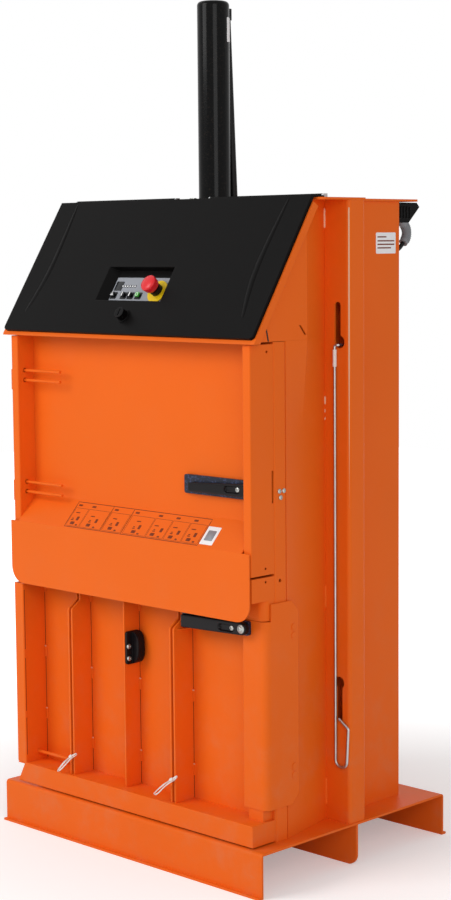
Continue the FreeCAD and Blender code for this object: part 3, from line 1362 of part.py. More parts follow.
def cylinder_tube():
    """Cylinder with a domed head, a flange on the top plate and a gland at its foot."""
    item = new_body("cylinder_tube")
    item.setExpression("Placement.Base.y", formula("cylinder_y"))
    flange_low = "wall_top + top_sheet"
    bore_low = "tube_low + gland_height"
    corners = [
        ("rod_radius + running_gap", "tube_low"), ("tube_radius", "tube_low"),
        ("tube_radius", flange_low), ("flange_radius", flange_low),
        ("flange_radius", f"{flange_low} + cylinder_flange"),
        ("tube_radius", f"{flange_low} + cylinder_flange"), ("tube_radius", "tube_high"),
        ("0", "tube_high"), ("0", "tube_high - tube_cap"), ("bore_radius", "tube_high - tube_cap"),
        ("bore_radius", bore_low), ("rod_radius + running_gap", bore_low),
    ]
    turn_profile(item, corners, {6: "head_round"})
    cut_discs(item, "XY", flange_low, "cylinder_flange", [("hose_low_x", "hose_y - cylinder_y")],
              "hose_hole")


def piston_rod():
    """Piston and rod as one turned piece."""
    item = new_body("piston_rod")
    item.setExpression("Placement.Base.y", formula("cylinder_y"))
    top = "tube_high - tube_cap - piston_rest"
    low = f"{top} - piston_height"
    foot = "press_low + press_sheet"
    corners = [
        ("0", foot), ("rod_radius", foot), ("rod_radius", low),
        ("bore_radius - running_gap", low), ("bore_radius - running_gap", top), ("0", top),
    ]
    turn_profile(item, corners)


def press_plate():
    """Press plate with two beams and a strap groove under each strap line."""
    item = new_body("press_plate")
    outline = box("-press_half", "press_half", "press_front", "press_back")
    add_plate(item, "XY", "press_low", "press_sheet", outline)
    for near in ("cylinder_y - beam_half", "cylinder_y + beam_half - beam_wide"):
        beam = box("-press_half + beam_short", "press_half - beam_short", near,
                   f"{near} + beam_wide")
        add_plate(item, "XY", "press_low + press_sheet", "beam_height", beam)
    for strap in ("left_strap", "right_strap"):
        groove = box(f"{strap} - groove_width / 2", f"{strap} + groove_width / 2",
                     "press_low", "press_low + press_groove")
        cut_plate(item, "XZ", "press_front", "press_back - press_front", groove)


# ---------------------------------------------------------------- hose and power pack


FITTING_FRONT = "wall_back + back_sheet + fitting_stand"


def cylinder_hose():
    """Hydraulic hose from the head of the cylinder through the top plate to the back wall."""
    points = [
        Vector(value("hose_top_x"), value("hose_y"), value("hose_top")),
        Vector(value("hose_low_x"), value("hose_y"), value("wall_top + top_sheet")),
        Vector(value("hose_low_x"), value("hose_y"), value("hose_turn")),
        Vector(value("hose_low_x"), value(FITTING_FRONT), value("hose_turn")),
    ]
    bends = [value("hose_sweep"), value("hose_bend")]
    add_shape("cylinder_hose", rod_with_bends(points, value("hose_radius"), bends))


def rod_with_bends(points, radius, bends):
    """Return a round rod through points, with the given bend at each inner point."""
    edges = []
    start = points[0]
    corners = zip(points, points[1:], points[2:], bends)
    for before, corner, after, bend in corners:
        back = (before - corner).normalize()
        ahead = (after - corner).normalize()
        half_angle = back.getAngle(ahead) / 2
        tangent = bend / math.tan(half_angle)
        middle = (back + ahead).normalize()
        centre = corner + middle * (bend / math.sin(half_angle))
        first = corner + back * tangent
        last = corner + ahead * tangent
        edges.append(Part.LineSegment(start, first).toShape())
        edges.append(Part.Arc(first, centre - middle * bend, last).toShape())
        start = last
    edges.append(Part.LineSegment(start, points[-1]).toShape())
    path = Part.Wire(edges)
    section = Part.Wire(Part.makeCircle(radius, points[0], points[1] - points[0]))
    return path.makePipeShell([section], True, False)


def hose_fittings():
    """Fitting at each end of the hose."""
    item = new_body("hose_fittings")
    add_discs(item, "XY", "hose_top + 2 * seat_gap", "fitting_height", [("hose_top_x", "hose_y")],
              "fitting_radius")
    block = box("hose_top_x - fitting_block", "hose_top_x + fitting_block", "cylinder_y", "hose_y")
    add_plate(item, "XY", "hose_top + fitting_lift", "fitting_height - fitting_lift", block)
    cut_discs(item, "XY", "hose_top", "fitting_height + 2 * seat_gap", [("0", "cylinder_y")],
              "tube_radius")
    add_discs(item, "XZ", FITTING_FRONT, "fitting_height", [("hose_low_x", "hose_turn")],
              "fitting_radius")


def oil_tank():
    """Tank of the power pack, on the back wall."""
    item = new_body("oil_tank")
    outline = box("tank_left", "tank_right", "tank_low", "tank_high")
    add_plate(item, "XZ", "wall_back + back_sheet", "tank_depth", outline,
              all_corners("tank_corner"))


def drive_motor():
    """Finned motor of the power pack."""
    item = new_body("drive_motor")
    y = "wall_back + back_sheet + motor_radius + motor_stand"
    length = "motor_right - motor_left"
    add_discs(item, "YZ", "motor_left", length, [(y, "motor_z")], "motor_radius - motor_fin")
    for number in range(8):
        start = f"motor_left + motor_first_fin + {number} * motor_fin_pitch"
        add_discs(item, "YZ", start, "motor_fin_width", [(y, "motor_z")], "motor_radius")
    foot = box("wall_back + back_sheet", y, "motor_z - motor_foot_half",
               "motor_z + motor_foot_half")
    add_plate(item, "YZ", "motor_left + motor_foot_start", "motor_foot_length", foot)


def plug_housing():
    """Ribbed plug housing high on the back wall, leaning in towards its foot."""
    item = new_body("plug_housing")
    back = "wall_back + back_sheet"
    side = [
        (back, "housing_low"), ("housing_slope_back", "housing_low"),
        ("housing_back", "housing_high - housing_chamfer"),
        ("housing_back - housing_chamfer", "housing_high"), (back, "housing_high"),
    ]
    face = "housing_right - housing_rib"
    add_plate(item, "YZ", "housing_left", f"{face} - housing_left", side)
    for number in range(5):
        near = f"{back} + housing_first_rib + {number} * housing_rib_pitch"
        rib = box(near, f"{near} + housing_rib_width", "housing_low + housing_margin",
                  "housing_high - housing_margin")
        add_plate(item, "YZ", face, "housing_rib", rib)


def conduit_end():
    """Return the last two points of the conduit: its bend and its end."""
    x = value("cable_x")
    wall = value("wall_back + back_sheet")
    top = value("housing_low")
    return (Vector(x, wall + value("conduit_bulge"), top - value("conduit_turn")),
            Vector(x, wall + value("conduit_end"), top - value("conduit_drop")))


def conduit_and_junction():
    """Short conduit that bows out below the plug housing, and the round body beside it."""
    bend, end = conduit_end()
    wall = value("wall_back + back_sheet")
    top = value("housing_low")
    mouth = Vector(bend.x, wall + value("conduit_start"), top)
    above = mouth + (mouth - bend) * 0.5
    conduit = rod_with_bends([above, bend, end], value("conduit_radius"), [value("conduit_bend")])
    room = value("housing_high") - top
    corner = Vector(bend.x - room, wall, top - value("seat_gap"))
    conduit = conduit.cut(Part.makeBox(2 * room, 2 * room, room, corner))
    radius = value("junction_radius")
    low = value("junction_low")
    axis = Vector(value("junction_x"), wall + radius, low)
    junction = Part.makeCylinder(radius, value("junction_high") - low, axis)
    add_shape("conduit_and_junction", Part.makeCompound([conduit, junction]))


def motor_cable():
    """Cable from the conduit back into the wall."""
    bend, end = conduit_end()
    heading = (end - bend).normalize()
    wall = value("wall_back + back_sheet + seat_gap")
    start = end + heading * value("seat_gap")
    turn = end + heading * value("cable_run")
    points = [start, turn, Vector(turn.x, wall, turn.z)]
    add_shape("motor_cable", rod_with_bends(points, value("cable_radius"), [value("cable_bend")]))


# ---------------------------------------------------------------- screws and tool


def casing_screws():
    """Screws in the right post and the right cheek."""
    item = new_body("casing_screws")
    spots = [
        ("latch_screw_y - latch_screw_pitch / 2", "latch_screw_z"),
        ("latch_screw_y + latch_screw_pitch / 2", "latch_screw_z"),
        ("latch_screw_y - latch_screw_pitch / 4", "latch_screw_z - latch_screw_pitch"),
        ("hood_screw_y", "hood_screw_z"),
        ("hood_screw_y", "hood_screw_z - hood_screw_pitch"),
    ]
    add_discs(item, "YZ", "post_face", "screw_rise", spots, "screw_head")


def top_bolts():
    """Four bolts in the cylinder's flange."""
    item = new_body("top_bolts")
    reach = "flange_bolt_circle * sin(45)"
    ring = [(f"{across}{reach}", f"cylinder_y {along} {reach}")
            for across in ("", "-") for along in ("+", "-")]
    add_discs(item, "XY", "wall_top + top_sheet + cylinder_flange", "bolt_rise", ring,
              "bolt_head")


def tool_rod():
    """Bent rod that hangs in the upper keyhole of the right column."""
    y = value("column_front - tool_radius - sleeve_sheet - tool_gap")
    x = value("tool_x")
    tip = value("tool_tip_x")
    high = value("tool_high")
    low = value("tool_low")
    side = x + value("hook_run")
    turn = value("loop_high")
    points = [
        Vector(side, y + value("hook_reach"), high), Vector(side, y, high), Vector(x, y, high),
        Vector(x, y, low), Vector(tip - value("loop_side"), y, low), Vector(tip, y, turn),
        Vector(tip - value("loop_end_run"), y, turn + value("loop_end_rise")),
    ]
    names = ("hook_bend", "hook_bend", "loop_turn", "loop_turn", "loop_bend")
    bends = [value(name) for name in names]
    add_shape("tool_rod", rod_with_bends(points, value("tool_radius"), bends))


def tool_sleeve():
    """Sleeve on the upright of the threading tool."""
    item = new_body("tool_sleeve")
    centre = [("tool_x", "column_front - tool_radius - sleeve_sheet - tool_gap")]
    length = "sleeve_high - sleeve_low"
    add_discs(item, "XY", "sleeve_low", length, centre, "tool_radius + sleeve_sheet")
    cut_discs(item, "XY", "sleeve_low", length, centre, "tool_radius + running_gap")


# ---------------------------------------------------------------- assembly


base_plate()
middle_skid()
for hand in ("left", "right"):
    side_wall(hand)
    column(hand)
    post(hand)
    cheek(hand)
    upper_door_cheek(hand)
back_wall()
chamber_floor()
header_rail()
chamber_front_plate()
top_plate()
door_stop_bracket()
hinge_lugs()
upper_door_panel()
upper_door_bars()
lower_door_skin()
lower_door_channel()
strap_ribs()
middle_rib()
lower_sill()
latch_cover()
strap_clip()
for door in ("upper", "lower"):
    handle_plate(door)
    lever(door)
    latch_tongue(door)
hood_tray()
hood_cover()
hood_hinge_rods()
control_panel()
stop_plate()
stop_collar()
stop_button()
for name in BUTTONS:
    push_button(name)
lock_knob()
cylinder_tube()
piston_rod()
press_plate()
cylinder_hose()
hose_fittings()
oil_tank()
drive_motor()
plug_housing()
conduit_and_junction()
motor_cable()
casing_screws()
top_bolts()
tool_rod()
tool_sleeve()
doc.recompute()

for item in doc.Objects:
    if "Invalid" in item.State or "Error" in item.State:
        raise RuntimeError(f"{item.Label}: {item.State}")
    if item.TypeId == "PartDesign::Pocket" and item.Shape.Volume >= item.BaseFeature.Shape.Volume:
        raise RuntimeError(f"{item.getParentGeoFeatureGroup().Label}: {item.Label} cuts nothing")

os.makedirs("parts", exist_ok=True)
for item in doc.Objects:
    if item.TypeId in ("PartDesign::Body", "Part::Feature") and not item.getParentGeoFeatureGroup():
        if item.Shape.isNull() or not item.Shape.isValid():
            raise RuntimeError(f"{item.Label}: no valid shape")
        item.Shape.exportStep(os.path.join("parts", item.Label + ".step"))
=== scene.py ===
"""Dresses the recycling baler: finishes for its CAD nodes, and the small pieces on them.

Shapes are worked out in millimetres, and add_piece turns them into metres.
"""

import math

import bpy
import bmesh
import numpy as np
from bpy.props import FloatProperty, FloatVectorProperty, IntProperty, PointerProperty
from mathutils import Matrix, Vector


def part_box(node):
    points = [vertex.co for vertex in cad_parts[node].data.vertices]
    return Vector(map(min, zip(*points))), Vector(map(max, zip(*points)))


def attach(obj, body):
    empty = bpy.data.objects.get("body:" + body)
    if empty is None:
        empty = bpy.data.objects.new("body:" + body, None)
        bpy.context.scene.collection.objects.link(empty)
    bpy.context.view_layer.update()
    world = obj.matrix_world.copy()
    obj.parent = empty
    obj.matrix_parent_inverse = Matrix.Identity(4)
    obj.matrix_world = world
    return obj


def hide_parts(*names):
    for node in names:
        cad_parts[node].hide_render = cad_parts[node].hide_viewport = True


bl_info = {
    "name": "Recycling baler",
    "version": (1, 0, 0),
    "blender": (4, 5, 0),
    "location": "View3D > Sidebar > Baler",
    "description": "Finishes and small parts of a recycling baler",
    "category": "Object",
}

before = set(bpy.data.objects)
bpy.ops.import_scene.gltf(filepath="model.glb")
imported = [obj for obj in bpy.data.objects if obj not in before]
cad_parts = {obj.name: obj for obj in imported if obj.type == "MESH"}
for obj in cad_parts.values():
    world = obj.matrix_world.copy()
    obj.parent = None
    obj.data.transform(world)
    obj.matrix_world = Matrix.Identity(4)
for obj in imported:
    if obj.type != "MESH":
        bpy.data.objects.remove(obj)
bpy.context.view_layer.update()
MM = 0.001
LEAST_RADIUS = 0.01
ACROSS = np.array([1.0, 0.0, 0.0])
FRONT = np.array([0.0, -1.0, 0.0])
UP = np.array([0.0, 0.0, 1.0])

# The hood's own axes: across, up the slope and out of it, from the middle of its front edge.
HOOD_TILT = math.radians(32.446)
HOOD_FOOT = np.array([0.0, -312.3, 1208.0])
UP_SLOPE = np.array([0.0, math.sin(HOOD_TILT), math.cos(HOOD_TILT)])
OFF_SLOPE = np.array([0.0, -math.cos(HOOD_TILT), math.sin(HOOD_TILT)])

# The chute's own axes, from the middle of its lower edge.
CHUTE_FOOT = np.array([0.0, -309.0, 748.0])
CHUTE_UP = np.array([0.0, 56.0, 60.0]) / math.hypot(56.0, 60.0)
CHUTE_OUT = np.cross(ACROSS, CHUTE_UP)

# Control panel: how far its faces lie off the slope, and places across and up the slope.
PANEL_FACE, BUTTON_FACE = -18, -11
BUTTONS = {"first_push": -97, "second_push": -63, "third_push": -40, "start_push": -14}
BUTTON_ROW, LAMP_ROW = 110, 134
WINDOW_PLACE, FIRST_LAMP = -92, -79
STOP_SPOT = (44, 122)

# Levers: height of the turning axis, how far the tip reaches over and under it, and the middle of
# the oval recess.
LEVERS = {
    "upper": {"axis": 877, "rise": 5, "drop": 14, "recess": (312, 876.6)},
    "lower": {"axis": 577, "rise": 9, "drop": 20, "recess": (301.6, 573.6)},
}
LEVER_AXIS, LEVER_END, LEVER_THICK = 347, 14, 12
RECESS_DEPTH, RECESS_HALF, RECESS_STRAIGHT, RECESS_EDGE = 5.2, 8.2, 16, 2.4

# Columns and side walls.
WALL_FACE, CHEEK_FACE = 357.5, 396.5
COLUMN_FRONT, COLUMN_FACE, COLUMN_BEND = -21, 429.5, 9
# Lowest and highest point of the painted highlight along the columns' outer bends.
BEND_PAINTED_HIGHLIGHT = (820, 1483)
CASING_SCREWS = ((-214, 875), (-200, 875), (-210.5, 861), (-199, 1342), (-199, 1318))
RATING_SPOT = (191, 1405)

# Lower door: its strap clip, skin and left channel, ribs, weld tabs, ends of seams, cable ties.
CLIP_BACK, CLIP_FACE = -31.5, -25.5
CLIP_MIDDLE, CLIP_HEIGHT = -259, 480
CLIP_SCREWS = ((-273, 483.7), (-272.6, 455.7))
SKIN_FACE, CHANNEL_SIDE, FLANGE_MIDDLE = -233.5, -370.5, -297.5
CHANNEL_TABS = (250, 405, 566)
CHANNEL_SEAMS = ((170, 262), (279, 410), (432, 578))
RIB_SIDES = (-201, -31.5, 145)
RIB_TABS = (205, 376, 562)
TAB_WIDTH, TAB_HEIGHT, TAB_THICK = 7, 28, 3
SILL_TOP, LOWER_TOP = 151, 594
TIES = {
    "left_tie": [(-196, -293, 203), (-204, -303, 196), (-214, -313, 183), (-226, -318, 168),
                 (-236, -316, 158), (-239, -309, 157), (-232, -303, 165), (-220, -300, 178),
                 (-208, -296, 191), (-199, -289, 199)],
    "right_tie": [(150, -293, 215), (142, -304, 207), (130, -312, 197), (116, -318, 184),
                  (103, -319, 172), (98, -312, 166), (104, -306, 171), (117, -304, 184),
                  (131, -301, 196), (144, -293, 207)],
}

# Conduit, cylinder and hose.
CONDUIT_MIDDLE, CONDUIT_BEND = (335, 270.1, 1427.8), 24
CYLINDER_AXIS, CYLINDER_RADIUS = (0, -3, 0), 37.6
HOSE_TOP, HOSE_CORNER, HOSE_END = (-1, 44, 1925), (17, 44, 1430), (17, 259, 1430)
HOSE_BEND = 70

# Stage, in metres: the camera's place, with its bearing, dip and roll in degrees; the soft lights.
CAMERA_SPOT = (3.1794, -3.2088, 1.4050)
CAMERA_TURN = (44.513, 6.139, -0.510)
LIGHTS = {
    "key": {"spot": (-1.6, -4.2, 3.4), "target": (0, 0, 1.0), "side": 2.6},
    "fill": {"spot": (3.9, -2.6, 2.2), "target": (0, 0, 0.8), "side": 2.2},
}
RELIEF_DEPTH = 0.0002


def linear(text):
    """Scene colour of a six-digit screen colour: each channel goes through the screen's curve."""
    channels = [int(text[start:start + 2], 16) / 255 for start in (0, 2, 4)]
    return tuple(c / 12.92 if c <= 0.04045 else ((c + 0.055) / 1.055) ** 2.4 for c in channels)


def colour_property(name, text):
    """Colour that a user may change, given as a screen colour."""
    return FloatVectorProperty(name=name, description=f"Colour of the {name.lower()}",
                               subtype="COLOR", size=3, min=0, max=1, default=linear(text))


def length_property(name, millimetres):
    """Length that a user may change, given in millimetres."""
    return FloatProperty(name=name, description=f"{name}, in metres", unit="LENGTH", min=0,
                         default=millimetres * MM, precision=5)


class BalerColours(bpy.types.PropertyGroup):
    """Colours of the finishes."""

    orange: colour_property("Powder coat", "F06A19")
    shell: colour_property("Hood shell", "0D0C0C")
    gloss: colour_property("Cylinder", "060607")
    handle: colour_property("Levers", "151214")
    dark_plate: colour_property("Handle plates", "1D2233")
    panel: colour_property("Control panel", "9A9DA4")
    yellow: colour_property("Stop plate", "F2CB14")
    red: colour_property("Stop button", "E0242B")
    key: colour_property("Push buttons", "101114")
    green: colour_property("Start button", "49B83C")
    steel: colour_property("Steel", "B4B6B8")
    chrome: colour_property("Piston rod", "D9DADC")
    zinc: colour_property("Zinc plate", "A9AAA6")
    rubber: colour_property("Rubber", "0B0B0C")
    white: colour_property("White plastic", "ECEBE6")
    conduit: colour_property("Conduit", "8B8E92")
    dust: colour_property("Dust", "B79C86")
    label: colour_property("Bare labels", "F6F6F7")
    print_dark: colour_property("Dark print", "7A3210")
    display: colour_property("Display window", "14161B")
    fleck: colour_property("Flecks of the handle plates", "59648C")
    # Pale colour of the painted glints on the welds and the painted highlights on the column
    # bends, and of the worn ends of the weld tabs.
    bead: colour_property("Bright weld", "F0BC98")


class BalerSizes(bpy.types.PropertyGroup):
    """Sizes of the small pieces."""

    edge: length_property("Round of the sheet edges", 0.9)
    grain: length_property("Grain of the powder coat", 1.6)
    lamp_radius: length_property("Indicator lamp radius", 2.4)
    lamp_pitch: length_property("Pitch of the indicator lamps", 8.2)
    mark_width: length_property("Mark on a push button", 3.2)
    mark_height: length_property("Height of that mark", 11)
    label_thick: length_property("Thickness of the bare labels", 0.5)
    tie_width: length_property("Width of a cable tie", 3.6)
    tie_thick: length_property("Thickness of a cable tie", 1.3)
    weld_radius: length_property("Weld bead radius", 4)
    weld_pitch: length_property("Pitch of the weld ripples", 5)
    crease_rise: length_property("Rise of the hood creases", 1.1)
    hose_diameter: length_property("Hydraulic hose diameter", 17)
    facets: IntProperty(name="Facets", description="Facets round a small turned piece",
                        default=28, min=8, max=64)


class BalerStage(bpy.types.PropertyGroup):
    """Lights and camera."""

    key_power: FloatProperty(name="Key light", description="Power of the soft key light",
                             default=112, min=0, unit="POWER")
    fill_power: FloatProperty(name="Fill light", description="Power of the fill on the right",
                              default=48, min=0, unit="POWER")
    room: FloatProperty(name="Room light", description="Strength of the even light of the room",
                        default=0.45, min=0)
    floor_glow: FloatProperty(name="Floor glow", description="White added to the floor as the "
                              "camera sees it", default=0.3, min=0)
    floor_size: FloatProperty(name="Floor", description="Side of the pale floor", default=14,
                              min=1, unit="LENGTH")
    lens: FloatProperty(name="Lens", description="Focal length on a 36 mm high sensor",
                        default=76.447, min=1, unit="CAMERA")


FINISHES = {}


def colours():
    return bpy.context.scene.baler_colours


def sizes():
    return bpy.context.scene.baler_sizes


def in_mm(name):
    """Size of that name, in millimetres."""
    return getattr(sizes(), name) / MM


# ---------------------------------------------------------------- finishes


def new_group(name, inputs):
    """Make a shader node group that puts out Colour, Roughness and Height.

    An input's kind follows its default: four numbers are a colour, three a vector, one a float.
    """
    kinds = {4: "NodeSocketColor", 3: "NodeSocketVector", 1: "NodeSocketFloat"}
    group = bpy.data.node_groups.new(name, "ShaderNodeTree")
    for label, default in inputs.items():
        kind = kinds[np.size(default)]
        socket = group.interface.new_socket(label, in_out="INPUT", socket_type=kind)
        socket.default_value = default
    for label, size in (("Colour", 4), ("Roughness", 1), ("Height", 1)):
        group.interface.new_socket(label, in_out="OUTPUT", socket_type=kinds[size])
    return group, group.nodes.new("NodeGroupInput").outputs


def close_group(group, **results):
    """Link each result to the group's output of its name."""
    put = group.nodes.new("NodeGroupOutput")
    for label, socket in results.items():
        group.links.new(socket, put.inputs[label])
    return group


def give(tree, socket, given):
    """Link an input to another node's output, or set it to a value."""
    if isinstance(given, bpy.types.NodeSocket):
        tree.links.new(given, socket)
    else:
        socket.default_value = given


def add_node(tree, kind, inputs, **settings):
    """Make a shader node with its settings, and give each of its inputs."""
    node = tree.nodes.new("ShaderNode" + kind)
    for name, setting in settings.items():
        setattr(node, name, setting)
    for label, given in inputs.items():
        give(tree, node.inputs[label], given)
    return node


def add_noise(tree, vector, scale, detail, roughness=0.5):
    """Noise on the given coordinates."""
    given = {"Vector": vector, "Scale": scale, "Detail": detail, "Roughness": roughness}
    return add_node(tree, "TexNoise", given).outputs["Fac"]


def add_range(tree, value, low, high, out_low=0.0, out_high=1.0):
    """Smooth step from low to high, put out between out_low and out_high."""
    given = {"Value": value, "From Min": low, "From Max": high, "To Min": out_low,
             "To Max": out_high}
    return add_node(tree, "MapRange", given, interpolation_type="SMOOTHSTEP").outputs["Result"]


def add_math(tree, operation, first, second):
    """One arithmetic step; each operand is a socket or a number."""
    return add_node(tree, "Math", {0: first, 1: second}, operation=operation).outputs[0]


def add_mix(tree, factor, first, second, blend="MIX"):
    """Mix two colours by a factor socket; each colour is a socket or a tuple."""
    node = add_node(tree, "Mix", {"Factor": factor}, data_type="RGBA", blend_type=blend)
    places = [socket for socket in node.inputs if socket.type == "RGBA"]
    for place, operand in zip(places, (first, second)):
        give(tree, place, operand)
    return next(socket for socket in node.outputs if socket.type == "RGBA")


def coat_group():
    """Powder coat or moulded surface: fine grain, slow unevenness of colour and floor dust.

    Height is fine noise of the grain size plus a little of a noise four times as coarse. The
    colour is the clean one, darkened by a slow noise, then mixed with dust by a noise that fades
    with height above the floor and by thin stretched scuffs. Flecks are the peaks of a small
    noise, in the dust's colour.
    """
    group, given = new_group("Coated surface", {
        "Colour": (0.8, 0.8, 0.8, 1), "Dust Colour": (0.5, 0.4, 0.3, 1), "Grain Scale": 600,
        "Unevenness": 0.1, "Dust": 0.2, "Flecks": 0.0, "Gloss": 0.4})

    def plus(first, second):
        return add_math(group, "ADD", first, second)

    def times(first, second):
        return add_math(group, "MULTIPLY", first, second)

    place = add_node(group, "TexCoord", {}).outputs["Object"]
    above = add_node(group, "SeparateXYZ", {0: place}).outputs["Z"]
    slow = add_noise(group, place, 2.3, 3)
    fine = add_noise(group, place, given["Grain Scale"], 2)
    coarse = add_noise(group, place, times(given["Grain Scale"], 0.25), 1)
    shade = times(add_range(group, slow, 0.3, 0.7), given["Unevenness"])
    uneven = add_mix(group, shade, given["Colour"], (0.72, 0.66, 0.62, 1), "MULTIPLY")
    stretch = add_node(group, "Mapping", {"Vector": place, "Scale": (9, 9, 60)})
    scuff = add_range(group, add_noise(group, stretch.outputs[0], 1.0, 6, 0.62), 0.66, 0.76)
    low = add_range(group, above, 0.0, 0.75, 1.0, 0.12)
    powder = add_range(group, add_noise(group, place, 14, 6, 0.65), 0.42, 0.8)
    dirt = plus(times(low, powder), times(scuff, 0.35))
    peaks = add_range(group, add_noise(group, place, 170, 4, 0.7), 0.52, 0.68)
    amount = plus(times(dirt, given["Dust"]), times(peaks, given["Flecks"]))
    rough = plus(plus(given["Gloss"], times(amount, 0.35)), times(slow, 0.06))
    return close_group(group, Colour=add_mix(group, amount, uneven, given["Dust Colour"]),
                       Roughness=rough, Height=plus(fine, times(coarse, 0.6)))


def metal_group():
    """Drawn metal: streaks along the part, and a slow tint; Height follows the streaks."""
    group, given = new_group("Drawn metal", {
        "Colour": (0.7, 0.7, 0.7, 1), "Streak": (900, 900, 12), "Gloss": 0.3})
    place = add_node(group, "TexCoord", {}).outputs["Object"]
    scaled = add_node(group, "VectorMath", {0: place, 1: given["Streak"]}, operation="MULTIPLY")
    streak = add_noise(group, scaled.outputs[0], 1.0, 3)
    tint = add_range(group, add_noise(group, place, 30, 4), 0.35, 0.75, 0.0, 0.45)
    rough = add_math(group, "ADD", given["Gloss"], add_math(group, "MULTIPLY", streak, 0.18))
    return close_group(group, Colour=add_mix(group, tint, given["Colour"], (0.33, 0.31, 0.29, 1)),
                       Roughness=rough, Height=streak)


def opaque(colour):
    return (*colour, 1.0)


def finish(name, group, inputs, metallic=0.0, bump=0.2, specular=0.2, edge=None):
    """Make a material whose look comes from a shared group and whose edges look rounded."""
    material = bpy.data.materials.new("finish_" + name)
    FINISHES[name] = material
    material.use_nodes = True
    tree = material.node_tree
    look = add_node(tree, "Group", inputs, node_tree=group).outputs
    radius = sizes().edge if edge is None else edge
    rounded = add_node(tree, "Bevel", {"Radius": radius}, samples=6)
    relief = add_node(tree, "Bump", {"Strength": bump, "Distance": RELIEF_DEPTH,
                                     "Height": look["Height"],
                                     "Normal": rounded.outputs["Normal"]})
    surface(tree, {"Metallic": metallic, "Specular IOR Level": specular,
                   "Base Color": look["Colour"],
                   "Roughness": look["Roughness"],
                   "Normal": relief.outputs["Normal"]})


def surface(tree, inputs):
    """Give the inputs of a material's own shader."""
    for label, given in inputs.items():
        give(tree, tree.nodes["Principled BSDF"].inputs[label], given)


def make_finishes():
    """Make one material for each slot of the record, and those of the added pieces."""
    tone = colours()
    coated = coat_group()
    drawn = metal_group()

    def coat(name, colour, grain, gloss, uneven, dusty, flecks=0.0, dust=tone.dust, **rest):
        settings = {"Colour": opaque(colour), "Dust Colour": opaque(dust), "Gloss": gloss,
                    "Grain Scale": 1 / grain, "Unevenness": uneven, "Dust": dusty,
                    "Flecks": flecks}
        finish(name, coated, settings, **rest)

    def metal(name, colour, streak, gloss, **rest):
        settings = {"Colour": opaque(colour), "Streak": streak, "Gloss": gloss}
        finish(name, drawn, settings, metallic=1.0, **rest)

    coat("orange_paint", tone.orange, sizes().grain, 0.4, 0.12, 0.14, bump=0.2, specular=0.12)
    coat("black_shell", tone.shell, 0.0011, 0.36, 0.2, 0.008, bump=0.35, edge=0.0025,
         specular=0.05)
    coat("black_gloss", tone.gloss, 0.004, 0.1, 0.1, 0.01, 0.02, bump=0.06, specular=0.1)
    coat("black_handle", tone.handle, 0.0012, 0.27, 0.2, 0.04, bump=0.2, edge=0.0015,
         specular=0.12)
    coat("dark_plate", tone.dark_plate, 0.0014, 0.3, 0.4, 0.1, 0.8, tone.fleck, bump=0.3)
    coat("grey_panel", tone.panel, 0.0009, 0.38, 0.15, 0.02, bump=0.15)
    coat("yellow_plate", tone.yellow, 0.0009, 0.34, 0.15, 0.02, bump=0.15)
    coat("red_button", tone.red, 0.0012, 0.24, 0.15, 0.02, bump=0.1, edge=0.002, specular=0.3)
    coat("black_button", tone.key, 0.0009, 0.3, 0.1, 0.02, bump=0.15)
    coat("green_button", tone.green, 0.0009, 0.3, 0.1, 0.02, bump=0.15)
    coat("black_rubber", tone.rubber, 0.0011, 0.5, 0.2, 0.05, bump=0.4)
    coat("white_plastic", tone.white, 0.0012, 0.36, 0.15, 0.05, bump=0.15)
    coat("grey_conduit", tone.conduit, 0.0014, 0.46, 0.2, 0.1, bump=0.2)
    coat("bare_label", tone.label, 0.0012, 0.4, 0.12, 0.04, bump=0.1, edge=0.0003)
    coat("dark_print", tone.print_dark, 0.0012, 0.45, 0.3, 0.04, bump=0.1, edge=0.0002)
    coat("display_window", tone.display, 0.003, 0.12, 0.3, 0.01, bump=0.05, specular=0.4)
    # Painted glints and highlights on the welds and column bends, and the worn ends of the weld
    # tabs.
    coat("painted_glint_and_wear", tone.bead, 0.0015, 0.4, 0.4, 0.1, bump=0.3)
    metal("steel", tone.steel, (500, 500, 60), 0.3, bump=0.15)
    metal("chrome_rod", tone.chrome, (60, 60, 900), 0.1, bump=0.05)
    metal("zinc", tone.zinc, (140, 140, 140), 0.3, bump=0.2)


# ---------------------------------------------------------------- shapes


def add_piece(name, parts, material, body, smooth_below=40):
    """Join (points, faces) parts into one piece that rides on a body, with its faces outwards."""
    points = np.concatenate([part[0] for part in parts]) * MM
    faces = []
    start = 0
    for part_points, part_faces in parts:
        faces.extend([tuple(int(corner) + start for corner in face) for face in part_faces])
        start += len(part_points)
    mesh = bpy.data.meshes.new(name)
    mesh.from_pydata(points.tolist(), [], faces)
    shell = bmesh.new()
    shell.from_mesh(mesh)
    bmesh.ops.recalc_face_normals(shell, faces=shell.faces)
    shell.to_mesh(mesh)
    shell.free()
    mesh.shade_smooth()
    mesh.set_sharp_from_angle(angle=math.radians(smooth_below))
    piece = bpy.data.objects.new(name, mesh)
    bpy.context.scene.collection.objects.link(piece)
    mesh.materials.append(FINISHES[material])
    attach(piece, body)
    return piece


def point(x, y, z):
    return np.array([x, y, z], float)


def on_hood(across, along, off):
    """Point given in the hood's own axes."""
    return HOOD_FOOT + across * ACROSS + along * UP_SLOPE + off * OFF_SLOPE


def on_chute(across, along):
    """Point of the chute's face, given in the chute's own axes."""
    return CHUTE_FOOT + across * ACROSS + along * CHUTE_UP


def unit(direction):
    """Directions of length 1, for one direction or a row of them."""
    return direction / np.linalg.norm(direction, axis=-1, keepdims=True)


def circle(side, other, count):
    """Points round a circle of radius 1 in the plane of two directions."""
    angle = np.arange(count) * 2 * math.pi / count
    return np.cos(angle)[:, None] * side + np.sin(angle)[:, None] * other


